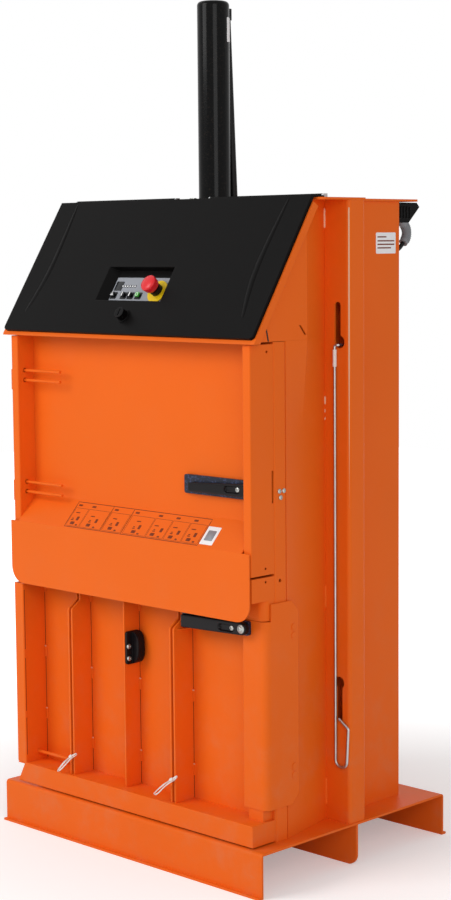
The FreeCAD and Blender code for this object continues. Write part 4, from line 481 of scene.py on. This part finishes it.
def loft(rings, looped=False):
    """Closed skin over rings, an array of (ring, point, xyz).

    Corner (i, j) is joined to (i, j + 1), (i + 1, j + 1) and (i + 1, j), with j taken round the
    ring. The first and last rings are closed by one face each, or joined to each other.
    """
    count, around = rings.shape[:2]
    ring, corner = np.meshgrid(np.arange(count if looped else count - 1), np.arange(around),
                               indexing="ij")
    after = (corner + 1) % around
    above = (ring + 1) % count
    quads = np.stack([ring * around + corner, ring * around + after,
                      above * around + after, above * around + corner], axis=-1)
    faces = quads.reshape(-1, 4).tolist()
    if not looped:
        faces.append(list(range(around)))
        faces.append(list(range((count - 1) * around, count * around)))
    return rings.reshape(-1, 3), faces


def rounded_outline(width, height, radius, steps=4):
    """Rectangle with round corners: each corner is a quarter turn about its own centre."""
    turn = np.linspace(0, math.pi / 2, steps + 1)
    corners = []
    for quarter, (right, up) in enumerate(((1, 1), (-1, 1), (-1, -1), (1, -1))):
        angle = turn + quarter * math.pi / 2
        centre = np.array([right * (width / 2 - radius), up * (height / 2 - radius)])
        corners.append(centre + radius * np.stack([np.cos(angle), np.sin(angle)], axis=1))
    return np.concatenate(corners)


def even_square(steps, corner):
    """Square of half side 1 with round corners, as points evenly round it.

    The corners' arcs are joined by straight lines, and the length along them all is shared out
    evenly.
    """
    outline = rounded_outline(2, 2, corner)
    closed = np.concatenate([outline, outline[:1]])
    run = np.concatenate([[0], np.cumsum(np.linalg.norm(np.diff(closed, axis=0), axis=1))])
    place = np.arange(steps) * run[-1] / steps
    return np.interp(place, run, closed[:, 0]), np.interp(place, run, closed[:, 1])


def slab(centre, right, up, width, height, thick, radius, edge=None):
    """Plate with a rounded face: its outline draws in by the edge round as it nears the face."""
    edge = thick / 2 if edge is None else edge
    angle = np.linspace(0, math.pi / 2, 4)
    insets = np.concatenate([[0.0], edge * (1 - np.cos(angle))])
    levels = np.concatenate([[0.0], thick - edge + edge * np.sin(angle)])
    rings = []
    for inset, level in zip(insets, levels):
        outline = rounded_outline(width - 2 * inset, height - 2 * inset,
                                  max(radius - inset, LEAST_RADIUS))
        rings.append(centre + outline[:, :1] * right + outline[:, 1:] * up
                     + level * np.cross(right, up))
    return loft(np.array(rings))


def turned(profile, centre, axis, segments=None):
    """Surface of revolution: each (radius, height) of the profile becomes a ring on the axis."""
    segments = segments or sizes().facets
    side = np.cross(axis, UP)
    side = ACROSS if np.linalg.norm(side) < 1e-6 else unit(side)
    radii, heights = np.array(profile, float).T[:, :, None, None]
    rim = np.maximum(radii, LEAST_RADIUS) * circle(side, np.cross(axis, side), segments)
    return loft(centre + rim + heights * axis)


def swept(path, outline, normal, looped=False):
    """Outline carried along a path; its second direction stays nearest to the given normal."""
    path = np.array(path, float)
    if looped:
        ahead = unit(np.roll(path, -1, axis=0) - np.roll(path, 1, axis=0))
    else:
        ahead = unit(np.gradient(path, axis=0))
    side = unit(np.cross(ahead, normal))
    up = np.cross(side, ahead)
    rings = (path[:, None] + outline[None, :, :1] * side[:, None]
             + outline[None, :, 1:] * up[:, None])
    return loft(rings, looped)


def smooth_path(points, count, looped=False):
    """Catmull-Rom curve through points, sampled count times."""
    points = np.array(points, float)
    if looped:
        padded = np.concatenate([points[-1:], points, points[:2]])
        spans = len(points)
    else:
        padded = np.concatenate([2 * points[:1] - points[1:2], points,
                                 2 * points[-1:] - points[-2:-1]])
        spans = len(points) - 1
    place = np.linspace(0, spans, count, endpoint=not looped)
    span = np.minimum(place.astype(int), spans - 1)
    t = (place - span)[:, None]
    before, start, end, after = (padded[span + shift] for shift in range(4))
    return 0.5 * (2 * start + (end - before) * t
                  + (2 * before - 5 * start + 4 * end - after) * t ** 2
                  + (3 * start - before - 3 * end + after) * t ** 3)


def screw(centre, axis, radius):
    """Button head with a round hollow, as a turned profile: a quarter oval over a short rim."""
    angle = np.linspace(0, math.radians(62), 6)
    dome = [(radius * math.cos(a), radius * (0.22 + 0.42 * math.sin(a))) for a in angle]
    hollow = [(0.42 * radius, 0.3 * radius), (0.0, 0.26 * radius)]
    return turned([(radius, -0.1 * radius)] + dome + hollow, centre, axis, 24)


# ---------------------------------------------------------------- operators


class BALER_OT_finishes(bpy.types.Operator):
    """Give every CAD node the procedural finish of its slot"""

    bl_idname = "baler.finishes"
    bl_label = "Finishes"

    def execute(self, context):
        make_finishes()
        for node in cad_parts.values():
            for place in node.material_slots:
                slot = place.material.name.split(".")[0]
                place.material = FINISHES[slot]
        return {"FINISHED"}


class BALER_OT_panel_marks(bpy.types.Operator):
    """Lamps, display window and button marks of the control panel"""

    bl_idname = "baler.panel_marks"
    bl_label = "Control panel marks"

    def execute(self, context):
        radius = in_mm("lamp_radius")
        lamp = [(radius, 0), (radius, 0.6), (0.7 * radius, 1.2), (0, 1.5)]
        bezel = [(1.5 * radius, 0), (1.5 * radius, 0.3), (1.3 * radius, 0.7), (radius, 0.7),
                 (radius, 0)]
        spots = [on_hood(FIRST_LAMP + number * in_mm("lamp_pitch"), LAMP_ROW, PANEL_FACE)
                 for number in range(6)]
        add_piece("indicator_lamps", [turned(lamp, spot, OFF_SLOPE, 14) for spot in spots],
                  "bare_label", "hood")
        add_piece("lamp_bezels", [turned(bezel, spot, OFF_SLOPE, 14) for spot in spots],
                  "black_button", "hood")
        window = self.flat(WINDOW_PLACE, LAMP_ROW, PANEL_FACE, 24, 24, 1.2, 1.5, 0.5)
        add_piece("display_window", [window], "display_window", "hood")
        fields = [self.flat(across, BUTTON_ROW - 1, PANEL_FACE, 20.5, 18, 0.4, 2, 0.2)
                  for across in BUTTONS.values()]
        add_piece("button_fields", fields, "black_button", "hood")
        for body, lean in (("second_push", -1), ("third_push", 1)):
            mark = self.flat(BUTTONS[body] + lean, BUTTON_ROW, BUTTON_FACE, in_mm("mark_width"),
                             in_mm("mark_height"), 0.5, 1.2)
            add_piece(body + "_mark", [mark], "bare_label", body)
        arrow = [self.flat(BUTTONS["first_push"], BUTTON_ROW + shift, BUTTON_FACE, wide, 2.2,
                           0.5, 0.8) for shift, wide in ((-3, 9), (0.5, 6), (4, 3))]
        add_piece("first_push_mark", arrow, "bare_label", "first_push")
        middle = on_hood(BUTTONS["start_push"], BUTTON_ROW, BUTTON_FACE)
        ring = swept(middle + 3.6 * circle(ACROSS, UP_SLOPE, 24),
                     rounded_outline(1.3, 1.0, 0.4, 2), OFF_SLOPE, True)
        add_piece("start_push_mark", [ring], "bare_label", "start_push")
        return {"FINISHED"}

    def flat(self, across, along, off, *plate):
        """Plate that lies in the slope of the panel."""
        return slab(on_hood(across, along, off), ACROSS, UP_SLOPE, *plate)


class BALER_OT_stop_button(bpy.types.Operator):
    """Mushroom head of the stop button with its stem, and the round plate under it"""

    bl_idname = "baler.stop_button"
    bl_label = "Stop button"

    def execute(self, context):
        profile = [(8, -28), (8, 2), (15.6, 2), (17.6, 2.8), (18.6, 5), (19.5, 12), (20, 17.5),
                   (19.7, 19.2), (18.6, 20.8), (14, 22.4), (8, 23.4), (0, 24)]
        across, along = STOP_SPOT
        head = turned(profile, on_hood(across, along, 0), OFF_SLOPE, 48)
        button = add_piece("stop_button_head", [head], "red_button", "stop_push")
        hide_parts("stop_button")
        rim, hole, plate, edge = 28.5, 12.5, 3.0, 0.6
        profile = [(rim, 0), (rim, plate - edge), (rim - edge, plate), (hole, plate), (hole, 0)]
        disc = turned(profile, on_hood(across, along - 2, PANEL_FACE), OFF_SLOPE, 56)
        field = add_piece("stop_plate_disc", [disc], "yellow_plate", "hood")
        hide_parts("stop_plate")
        return {"FINISHED"}


class BALER_OT_levers(bpy.types.Operator):
    """Moulded levers with their oval recess, screws and boss"""

    bl_idname = "baler.levers"
    bl_label = "Levers"

    def execute(self, context):
        for door, lever in LEVERS.items():
            low, high = (np.array(corner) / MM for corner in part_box(door + "_lever"))
            front = low[1]
            start = point(LEVER_AXIS, front + 6, lever["axis"])
            spindle = turned([(5, 0), (5, high[1] - start[1])], start, -FRONT, 20)
            piece = add_piece(door + "_lever_grip", [self.shell(lever, low), spindle],
                              "black_handle", door + "_handle", smooth_below=50)
            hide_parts(door + "_lever")
            x, z = lever["recess"]
            heads = [screw(point(x + 14.5, front + RECESS_DEPTH, z + 1), FRONT, 6.2)]
            if door == "lower":
                boss = point(LEVER_AXIS, front, lever["axis"])
                washer = [(10, -0.5), (10, 0.5), (8.4, 1.8), (5, 2.5), (0, 2.6)]
                heads.append(turned(washer, boss, FRONT, 40))
                heads.append(screw(boss + FRONT * 1.6, FRONT, 6.4))
            add_piece(door + "_lever_screws", heads, "zinc", door + "_handle")
        return {"FINISHED"}

    def shell(self, lever, low):
        """Lever as rings along x, of a round-cornered square scaled to its thickness and height.

        The height goes evenly from the tip's to the round end's, draws in by a quarter at the
        very tip, and follows a half circle at the round end. A point of the front goes back by the
        recess depth times a smooth step of its distance to the oval's edge.
        """
        tip, end = low[0], LEVER_AXIS + LEVER_END
        place = np.concatenate([tip + 2.5 * (1 - np.cos(np.linspace(0.15, 1.57, 6))),
                                np.linspace(tip + 3.5, LEVER_AXIS - 0.5, 130),
                                end - LEVER_END * (1 - np.sin(np.linspace(0.02, 1.5, 16)))])
        share = np.clip((place - tip) / (LEVER_AXIS - tip), 0, 1)
        rise, drop = (lever[side] + (LEVER_END - lever[side]) * share
                      for side in ("rise", "drop"))
        from_tip = np.clip((place - tip) / 3, 0.02, 1)
        edge = 0.75 + 0.25 * np.sqrt(1 - (1 - from_tip) ** 2)
        into_end = np.clip((place - LEVER_AXIS) / LEVER_END, 0, 0.995)
        half = (rise + drop) / 2 * np.sqrt(1 - into_end ** 2) * edge
        middle = lever["axis"] + (rise - drop) / 2
        across, along = even_square(96, 0.3)
        x = np.repeat(place[:, None], len(across), axis=1)
        y = low[1] + LEVER_THICK / 2 * (1 + across[None] * edge[:, None])
        z = middle[:, None] + half[:, None] * along
        recess_x, recess_z = lever["recess"]
        beyond = np.hypot(np.maximum(np.abs(x - recess_x) - RECESS_STRAIGHT, 0), z - recess_z)
        mask = np.clip((RECESS_HALF - beyond) / RECESS_EDGE, 0, 1)
        y = y + RECESS_DEPTH * mask ** 2 * (3 - 2 * mask) * (across[None] < -0.9)
        return loft(np.stack([x, y, z], axis=-1))


class BALER_OT_screws(bpy.types.Operator):
    """Strap clip, with its button-head screws and those of the casing"""

    bl_idname = "baler.screws"
    bl_label = "Strap clip and screws"

    def execute(self, context):
        heads = [screw(point(CHEEK_FACE, y, z), ACROSS, 5.4) for y, z in CASING_SCREWS]
        piece = add_piece("casing_screw_heads", heads, "zinc", "frame")
        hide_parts("casing_screws")
        plate = slab(point(CLIP_BACK, CLIP_MIDDLE, CLIP_HEIGHT), -FRONT, UP, 41, 77,
                     CLIP_FACE - CLIP_BACK, 6, 1.2)
        clip = add_piece("strap_clip_body", [plate, self.clip_body()], "black_handle",
                         "lower_door", smooth_below=50)
        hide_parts("strap_clip")
        heads = [screw(point(CLIP_FACE, y, z), ACROSS, 6.2) for y, z in CLIP_SCREWS]
        add_piece("clip_screws", heads, "zinc", "lower_door")
        return {"FINISHED"}

    def clip_body(self):
        """Body beside the clip's screws, as rings up its height.

        Its reach from the plate is 19.5 mm times the square root of 1 - |h| ^ 2.6, with h from -1
        to 1 over its height. Five grooves run down its outer side, each a cosine in its depth.
        """
        share = np.sin(np.linspace(-1, 1, 41) * math.pi / 2) * 0.995
        reach = 19.5 * np.sqrt(1 - np.abs(share) ** 2.6)
        root = 1.5
        across, along = even_square(120, 0.22)
        half = (reach + root) / 2
        x = CLIP_FACE - root + half[:, None] * (1 + across[None])
        groove = 0.45 * (1 + np.cos(2 * math.pi * along * 2.25)) * (across > 0.9)
        x = x - np.minimum(groove[None], 0.4 * half[:, None])
        y = np.repeat((CLIP_MIDDLE + 8.5 + 11.5 * along)[None], len(share), axis=0)
        z = np.repeat((CLIP_HEIGHT + 37 * share)[:, None], len(along), axis=1)
        return loft(np.stack([x, y, z], axis=-1))


class BALER_OT_conduit_ribs(bpy.types.Operator):
    """Ribs round the short conduit under the plug housing"""

    bl_idname = "baler.conduit_ribs"
    bl_label = "Conduit ribs"

    def execute(self, context):
        rib = [(10.2, -1.3), (11.3, -0.9), (11.6, -0.3), (11.6, 0.3), (11.3, 0.9), (10.2, 1.3)]
        ribs = []
        for angle in np.radians(np.linspace(50, -42, 11)):
            out = point(0, math.cos(angle), math.sin(angle))
            ribs.append(turned(rib, CONDUIT_MIDDLE + CONDUIT_BEND * out, np.cross(ACROSS, out)))
        add_piece("conduit_ribs", ribs, "grey_conduit", "frame")
        return {"FINISHED"}


class BALER_OT_labels(bpy.types.Operator):
    """Bare labels and plates where the machine carries print"""

    bl_idname = "baler.labels"
    bl_label = "Bare labels"

    def execute(self, context):
        thick = in_mm("label_thick")
        add_piece("chute_fields", self.chute_fields(thick), "dark_print", "upper_door")
        spot = on_chute(258, 33)
        plate = slab(spot, ACROSS, CHUTE_UP, 39, 48, thick, 2)
        add_piece("chute_plate", [plate], "bare_label", "upper_door")
        square = slab(spot + CHUTE_OUT * thick, ACROSS, CHUTE_UP, 25, 27, 0.15, 2)
        add_piece("chute_plate_field", [square], "grey_panel", "upper_door")
        y, z = RATING_SPOT
        wall = self.wall_face(y, z)
        rating = slab(point(wall, y, z), -FRONT, UP, 70, 48, thick, 3)
        add_piece("rating_plate", [rating], "bare_label", "frame")
        bars = [slab(point(wall + thick, y + shift, z + lift), -FRONT, UP, wide, 3, 0.15, 0.8)
                for shift, lift, wide in ((-14, 14, 32), (0, 5, 60), (0, -3, 60), (-6, -11, 48))]
        add_piece("rating_plate_fields", bars, "dark_print", "frame")
        add_piece("cylinder_plate", [self.cylinder_plate(thick)], "bare_label", "frame")
        return {"FINISHED"}

    def wall_face(self, y, z):
        """Outside of the right side wall there: where a ray from the right ends."""
        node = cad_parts["right_side_wall"]
        from_right = node.matrix_world.inverted() @ Vector((1.0, y * MM, z * MM))
        toward = node.matrix_world.inverted().to_3x3() @ Vector((-1.0, 0.0, 0.0))
        found, spot, _, _ = node.ray_cast(from_right, toward)
        if not found:
            raise RuntimeError("the side wall has no face under the rating plate")
        return (node.matrix_world @ spot).x / MM

    def cylinder_plate(self, thick):
        """Plate bent round the cylinder, as rings from 12 to 45 degrees round it."""
        angle = np.radians(np.linspace(12, 45, 12))
        bulge = np.array([0, 0.7, 1, 1, 0.7, 0])
        levels = np.array([1871, 1872, 1873, 1925, 1926, 1927])
        radii = np.concatenate([CYLINDER_RADIUS + 0.1 + thick * bulge,
                                np.full(len(bulge), CYLINDER_RADIUS)])
        heights = np.concatenate([levels, levels[::-1]])
        out = np.stack([np.cos(angle), np.sin(angle), np.zeros(len(angle))], axis=1)
        return loft(CYLINDER_AXIS + radii[:, None] * out[:, None] + heights[:, None] * UP)

    def chute_fields(self, thick):
        """Print of the chute as bare fields: a frame in three cells, boxes and plain marks."""
        left, low, width, height, header = -208, 4.5, 444, 71, 14
        cells = (0, 124, 194, width)
        parts = [self.frame_line(left + start, low, stop - start, height, 1.7)
                 for start, stop in zip(cells[:-1], cells[1:])]

        def mark(across, rise, *plate):
            parts.append(slab(on_chute(left + across, low + rise), ACROSS, CHUTE_UP, *plate,
                              thick / 2, 1.4))

        boxes = ((3, 44), (50, 71), (128, 62), (199, 74), (276, 54), (333, 54), (390, 50))
        for number, (start, wide) in enumerate(boxes):
            parts.append(self.frame_line(left + start, low + 3, wide, height - header - 6, 0.8))
            middle = start + wide / 2
            lean = 3 - number * 5 % 7
            mark(middle + lean - 8, 11, 13, 8)
            mark(middle + 7 - lean, 25, 8, 11)
            mark(middle + lean - 9, 38 + lean, 14, 2.4)
            mark(middle + 11, 7, 7, 4)
            mark(middle - 12, 24, 6, 2.4)
            mark(middle - 12, 20, 9, 2.4)
            mark(start + 10, height - 9, 13, 5)
        return parts

    def frame_line(self, left, low, width, height, line):
        """Printed line of a given width round a rectangle on the chute."""
        corners = [on_chute(left + across, low + along)
                   for across, along in ((0, 0), (width, 0), (width, height), (0, height))]
        path = np.concatenate([np.linspace(corners[k], corners[(k + 1) % 4], 8)[:-1]
                               for k in range(4)])
        return swept(path, rounded_outline(line, 0.6, 0.2, 1), CHUTE_OUT, True)


class BALER_OT_ties(bpy.types.Operator):
    """Two white ties looped through the strap ribs"""

    bl_idname = "baler.ties"
    bl_label = "Cable ties"

    def execute(self, context):
        thick = in_mm("tie_thick")
        outline = rounded_outline(in_mm("tie_width"), thick, 0.4 * thick, 2)
        for name, points in TIES.items():
            strap = swept(smooth_path(points, 72, True), outline, np.array([0.55, -0.2, 0.8]),
                          True)
            start = point(*points[1])
            toward = unit(point(*points[2]) - start)
            head = slab(start - FRONT * 2, unit(np.cross(toward, FRONT)), toward, 7, 8, 5, 1.2, 1)
            tail = [start, start + toward * 18 + FRONT * 5,
                    start + toward * 38 + FRONT * 3 - UP * 4]
            add_piece(name, [strap, head, swept(smooth_path(tail, 18), outline * 0.8, UP)],
                      "white_plastic", "lower_door")
        return {"FINISHED"}


class BALER_OT_welds(bpy.types.Operator):
    """Weld beads between side walls and columns, some with painted glints, the painted highlights
    on the columns' bends and the cheek's seam
    """

    bl_idname = "baler.welds"
    bl_label = "Weld beads"

    def execute(self, context):
        painted = ((132, 195, 1), (588, 640, 1))
        # The second runs are painted glints: pale beads where light catches the orange welds.
        bare = ((1439, 1483, 0.9), (1048, 1067, 0.8), (1030, 1038, 0.6), (1013, 1020, 0.6))
        add_piece("wall_welds", self.beads(painted), "orange_paint", "frame", smooth_below=80)
        add_piece("painted_weld_glints", self.beads(bare), "painted_glint_and_wear", "frame",
                  smooth_below=80)
        # Painted highlight: a pale strip along the outer bend of each column.
        add_piece("column_bend_painted_highlight", [self.bend_wear(side) for side in (-1, 1)], "painted_glint_and_wear",
                  "frame")
        foot = [(-257, 1259), (-254.5, 1240), (-250.5, 1220), (-245.5, 1199)]
        path = smooth_path([point(CHEEK_FACE, y, z) for y, z in foot], 24)
        seam = swept(path, rounded_outline(4, 0.8, 0.3, 2), ACROSS)
        add_piece("cheek_seam", [seam], "black_rubber", "frame")
        return {"FINISHED"}

    def beads(self, runs):
        """Rippled beads up both columns, whose radius swells once for each pitch of the run.

        Each run is its lower and its upper end, and its share of the full radius.
        """
        parts = []
        for side in (-1, 1):
            for low, high, share in runs:
                length = high - low
                pitches = length / in_mm("weld_pitch")
                place = np.linspace(0, 1, max(int(pitches * 6), 8))
                ripple = 0.86 + 0.14 * np.abs(np.sin(place * pitches * math.pi))
                taper = np.clip(np.minimum(place, 1 - place) * length / 3, 0.15, 1) ** 0.5
                radius = in_mm("weld_radius") * share * ripple * taper
                start = point(side * WALL_FACE, COLUMN_FRONT, low)
                parts.append(turned(np.stack([radius, place * length], axis=1), start, UP, 12))
        return parts

    def bend_wear(self, side):
        """Painted highlight: a pale strip on the outer bend of a column, which runs out towards
        its foot.
        """
        out = unit(point(side, -1, 0))
        along = unit(point(side, 1, 0))
        centre = point(side * (COLUMN_FACE - COLUMN_BEND), COLUMN_FRONT + COLUMN_BEND, 0)
        height = np.linspace(*BEND_PAINTED_HIGHLIGHT, 30)
        half = 2.1 * np.clip(2 * (height - height[0]) / (height[-1] - height[0]), 0.05, 1)
        wide, rise = np.array([(-1, -0.5), (1, -0.5), (0.6, 0.15), (-0.6, 0.15)]).T
        spread = half[:, None, None] * wide[:, None] * along
        away = (COLUMN_BEND + rise)[:, None] * out
        return loft(centre + height[:, None, None] * UP + spread + away)


class BALER_OT_seams(bpy.types.Operator):
    """Seams of the lower door between its weld tabs, and the bare upper ends of those tabs"""

    bl_idname = "baler.seams"
    bl_label = "Seams and tabs"

    def execute(self, context):
        thin = 0.3
        tabs = []
        ends = []
        seams = []
        columns = [(CHANNEL_SIDE, CHANNEL_TABS)] + [(side, RIB_TABS) for side in RIB_SIDES]
        for side, heights in columns:
            start = SILL_TOP
            for low in (*heights, LOWER_TOP):
                if low - start > 2:
                    middle = point(side + 0.7, SKIN_FACE, (start + low) / 2)
                    seams.append(slab(middle, ACROSS, UP, 1.5, low - start - 2, thin, 0.6))
                start = low + TAB_HEIGHT
            for low in heights:
                middle = point(side + TAB_WIDTH / 2, SKIN_FACE, low + TAB_HEIGHT / 2)
                if side == CHANNEL_SIDE:
                    tabs.append(slab(middle, ACROSS, UP, TAB_WIDTH, TAB_HEIGHT, TAB_THICK, 1, 1))
                end = middle + FRONT * TAB_THICK + UP * (TAB_HEIGHT / 2 - 1.8)
                ends.append(slab(end, ACROSS, UP, TAB_WIDTH - 1, 3, thin, 1))
        for low, high in CHANNEL_SEAMS:
            middle = point(CHANNEL_SIDE, FLANGE_MIDDLE, (low + high) / 2)
            seams.append(slab(middle, -FRONT, UP, 1.6, high - low, thin, 0.6))
        add_piece("channel_tabs", tabs, "orange_paint", "lower_door")
        add_piece("tab_ends", ends, "painted_glint_and_wear", "lower_door")
        add_piece("door_seams", seams, "dark_print", "lower_door")
        return {"FINISHED"}


class BALER_OT_creases(bpy.types.Operator):
    """Low creases that run down the hood near its ends"""

    bl_idname = "baler.creases"
    bl_label = "Hood creases"

    def execute(self, context):
        creases = [self.crease(side) for side in (-1, 1)]
        add_piece("hood_creases", creases, "black_shell", "hood", smooth_below=70)
        return {"FINISHED"}

    def crease(self, side):
        """Wave of one cosine across, whose height and width run out towards both ends.

        At the share s of its length the height is multiplied by sin(pi s) ^ 0.5.
        """
        run = [(347, 350), (340, 231), (340, 161), (347, 106), (359, 50)]
        path = smooth_path([on_hood(side * across, along, 0) for across, along in run], 48)
        fade = np.sin(math.pi * np.linspace(0.004, 0.996, len(path))) ** 0.5
        across = np.linspace(-1, 1, 15)
        wave = 0.5 + 0.5 * np.cos(math.pi * across)
        width = np.concatenate([across, [0.9, -0.9]]) * 9
        lift = fade[:, None] * in_mm("crease_rise") * wave - 0.05
        lift = np.concatenate([lift, np.full((len(path), 2), -0.6)], axis=1)
        wide = (0.4 + 0.6 * fade)[:, None] * width
        return loft(path[:, None] + wide[:, :, None] * ACROSS + lift[:, :, None] * OFF_SLOPE)


class BALER_OT_hose(bpy.types.Operator):
    """Hydraulic hose from the head of the cylinder down through the top plate"""

    bl_idname = "baler.hose"
    bl_label = "Hydraulic hose"

    def execute(self, context):
        diameter = sizes().hose_diameter
        curve = bpy.data.curves.new("hydraulic_hose", "CURVE")
        curve.dimensions = "3D"
        curve.bevel_depth = diameter / 2
        curve.bevel_resolution = 5
        curve.resolution_u = 24
        curve.use_fill_caps = True
        spline = curve.splines.new("NURBS")
        route = self.route()
        spline.points.add(len(route) - 1)
        for control, spot in zip(spline.points, route):
            control.co = (*(MM * number for number in spot), 1.0)
        spline.order_u = 3
        spline.use_endpoint_u = True
        hose = bpy.data.objects.new("hydraulic_hose", curve)
        bpy.context.scene.collection.objects.link(hose)
        curve.materials.append(FINISHES["black_rubber"])
        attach(hose, "frame")
        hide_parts("cylinder_hose")
        return {"FINISHED"}

    def route(self):
        """Control points of the hose: a straight run, a quarter turn and a run to the back.

        The turn's points are the corners of an even polygon round an arc of radius HOSE_BEND, and
        the runs begin with half a side more, at the arc's ends.
        """
        sides = 4
        step = math.pi / 2 / sides
        half = HOSE_BEND * math.tan(step / 2)
        reach = HOSE_BEND / math.cos(step / 2)
        x, y, z = HOSE_CORNER
        turn = [(x, y + HOSE_BEND - reach * math.cos(step * (number + 0.5)),
                 z + HOSE_BEND - reach * math.sin(step * (number + 0.5)))
                for number in range(sides)]
        low = point(x, y, z + HOSE_BEND + half)
        top = point(*HOSE_TOP)
        lean = top + (low - top) * (1 - 2 * half / np.linalg.norm(low - top))
        return [top, lean, low, *turn, (x, y + HOSE_BEND + half, z), HOSE_END]


class BALER_OT_stage(bpy.types.Operator):
    """Pale floor, soft lights, white room and the camera of the photograph"""

    bl_idname = "baler.stage"
    bl_label = "Stage"

    def execute(self, context):
        settings = context.scene.baler_stage
        self.floor(settings.floor_size, settings.floor_glow)
        self.room(settings.room)
        self.light("key", settings.key_power, **LIGHTS["key"])
        self.light("fill", settings.fill_power, **LIGHTS["fill"])
        self.camera(settings.lens)
        context.scene.view_settings.view_transform = "Standard"
        return {"FINISHED"}

    def seen_by(self, tree):
        """1 for camera, glossy and transmission rays, which see the background, otherwise 0."""
        path = add_node(tree, "LightPath", {}).outputs
        seen = path["Is Camera Ray"]
        for name in ("Is Glossy Ray", "Is Transmission Ray"):
            seen = add_math(tree, "MAXIMUM", seen, path[name])
        return seen

    def floor(self, side, glow):
        """Square floor under the base. What sees it gets white added, up to all of it 2.4 m off.

        It takes the object's shadow as any floor does, and the white added lights nothing.
        """
        half = side / 2
        mesh = bpy.data.meshes.new("floor")
        mesh.from_pydata([(-half, -half, 0), (half, -half, 0), (half, half, 0), (-half, half, 0)],
                         [], [(0, 1, 2, 3)])
        ground = bpy.data.objects.new("floor", mesh)
        bpy.context.scene.collection.objects.link(ground)
        material = bpy.data.materials.new("pale_floor")
        material.use_nodes = True
        tree = material.node_tree
        place = add_node(tree, "TexCoord", {}).outputs["Object"]
        far = add_node(tree, "VectorMath", {0: place}, operation="LENGTH").outputs["Value"]
        added = add_math(tree, "MULTIPLY", add_range(tree, far, 0.5, 2.4, glow, 1.0),
                         self.seen_by(tree))
        surface(tree, {"Base Color": (0.9, 0.9, 0.9, 1), "Roughness": 0.9,
                       "Specular IOR Level": 0.1, "Emission Color": (1, 1, 1, 1),
                       "Emission Strength": added})
        mesh.materials.append(material)

    def room(self, strength):
        """World that lights evenly, and that the camera and shiny surfaces see as white."""
        world = bpy.data.worlds.new("room")
        world.use_nodes = True
        tree = world.node_tree
        tree.nodes.clear()
        level = add_node(tree, "MapRange", {"Value": self.seen_by(tree), "To Min": strength,
                                            "To Max": 1.0})
        background = add_node(tree, "Background", {"Color": (1, 1, 1, 1),
                                                   "Strength": level.outputs["Result"]})
        add_node(tree, "OutputWorld", {"Surface": background.outputs[0]})
        bpy.context.scene.world = world

    def light(self, name, power, spot, target, side):
        """Square soft light at a spot, turned to its target."""
        lamp = bpy.data.lights.new(name, "AREA")
        lamp.size = side
        lamp.energy = power
        holder = bpy.data.objects.new(name, lamp)
        holder.location = spot
        holder.rotation_euler = (Vector(target) - Vector(spot)).to_track_quat("-Z", "Y").to_euler()
        bpy.context.scene.collection.objects.link(holder)

    def camera(self, lens):
        """Camera at the photograph's place: turned by its bearing, dip and roll."""
        bearing, dip, roll = (math.radians(angle) for angle in CAMERA_TURN)
        ahead = Vector((-math.sin(bearing) * math.cos(dip), math.cos(bearing) * math.cos(dip),
                        -math.sin(dip)))
        right = Vector((math.cos(bearing), math.sin(bearing), 0))
        up = right.cross(ahead)
        turned_right = math.cos(roll) * right + math.sin(roll) * up
        turned_up = -math.sin(roll) * right + math.cos(roll) * up
        data = bpy.data.cameras.new("camera")
        data.sensor_fit = "VERTICAL"
        data.sensor_height = 36
        data.lens = lens
        data.clip_end = 60
        holder = bpy.data.objects.new("camera", data)
        turn = Matrix((turned_right, turned_up, -ahead)).transposed()
        holder.matrix_world = Matrix.Translation(CAMERA_SPOT) @ turn.to_4x4()
        bpy.context.scene.collection.objects.link(holder)
        bpy.context.scene.camera = holder


OPERATORS = (BALER_OT_finishes, BALER_OT_stage, BALER_OT_hose, BALER_OT_panel_marks,
             BALER_OT_stop_button, BALER_OT_levers, BALER_OT_screws, BALER_OT_conduit_ribs,
             BALER_OT_labels, BALER_OT_ties, BALER_OT_welds, BALER_OT_seams,
             BALER_OT_creases)
GROUPS = {"baler_colours": BalerColours, "baler_sizes": BalerSizes, "baler_stage": BalerStage}


class BALER_PT_pieces(bpy.types.Panel):
    """Lists the pieces in the sidebar of the 3D view"""

    bl_label = "Recycling baler"
    bl_idname = "BALER_PT_pieces"
    bl_space_type = "VIEW_3D"
    bl_region_type = "UI"
    bl_category = "Baler"

    def draw(self, context):
        for operator in OPERATORS:
            self.layout.operator(operator.bl_idname)


def register():
    for group in GROUPS.values():
        bpy.utils.register_class(group)
    for name, group in GROUPS.items():
        setattr(bpy.types.Scene, name, PointerProperty(type=group))
    for operator in OPERATORS:
        bpy.utils.register_class(operator)
    bpy.utils.register_class(BALER_PT_pieces)


def unregister():
    bpy.utils.unregister_class(BALER_PT_pieces)
    for operator in reversed(OPERATORS):
        bpy.utils.unregister_class(operator)
    for name in GROUPS:
        delattr(bpy.types.Scene, name)
    for group in GROUPS.values():
        bpy.utils.unregister_class(group)


def main():
    """Register the add-on, then build every piece in order."""
    register()
    bpy.ops.baler.finishes()
    bpy.ops.baler.stage()
    bpy.ops.baler.hose()
    bpy.ops.baler.panel_marks()
    bpy.ops.baler.stop_button()
    bpy.ops.baler.levers()
    bpy.ops.baler.screws()
    bpy.ops.baler.conduit_ribs()
    bpy.ops.baler.labels()
    bpy.ops.baler.ties()
    bpy.ops.baler.welds()
    bpy.ops.baler.seams()
    bpy.ops.baler.creases()


if __name__ == "__main__":
    main()
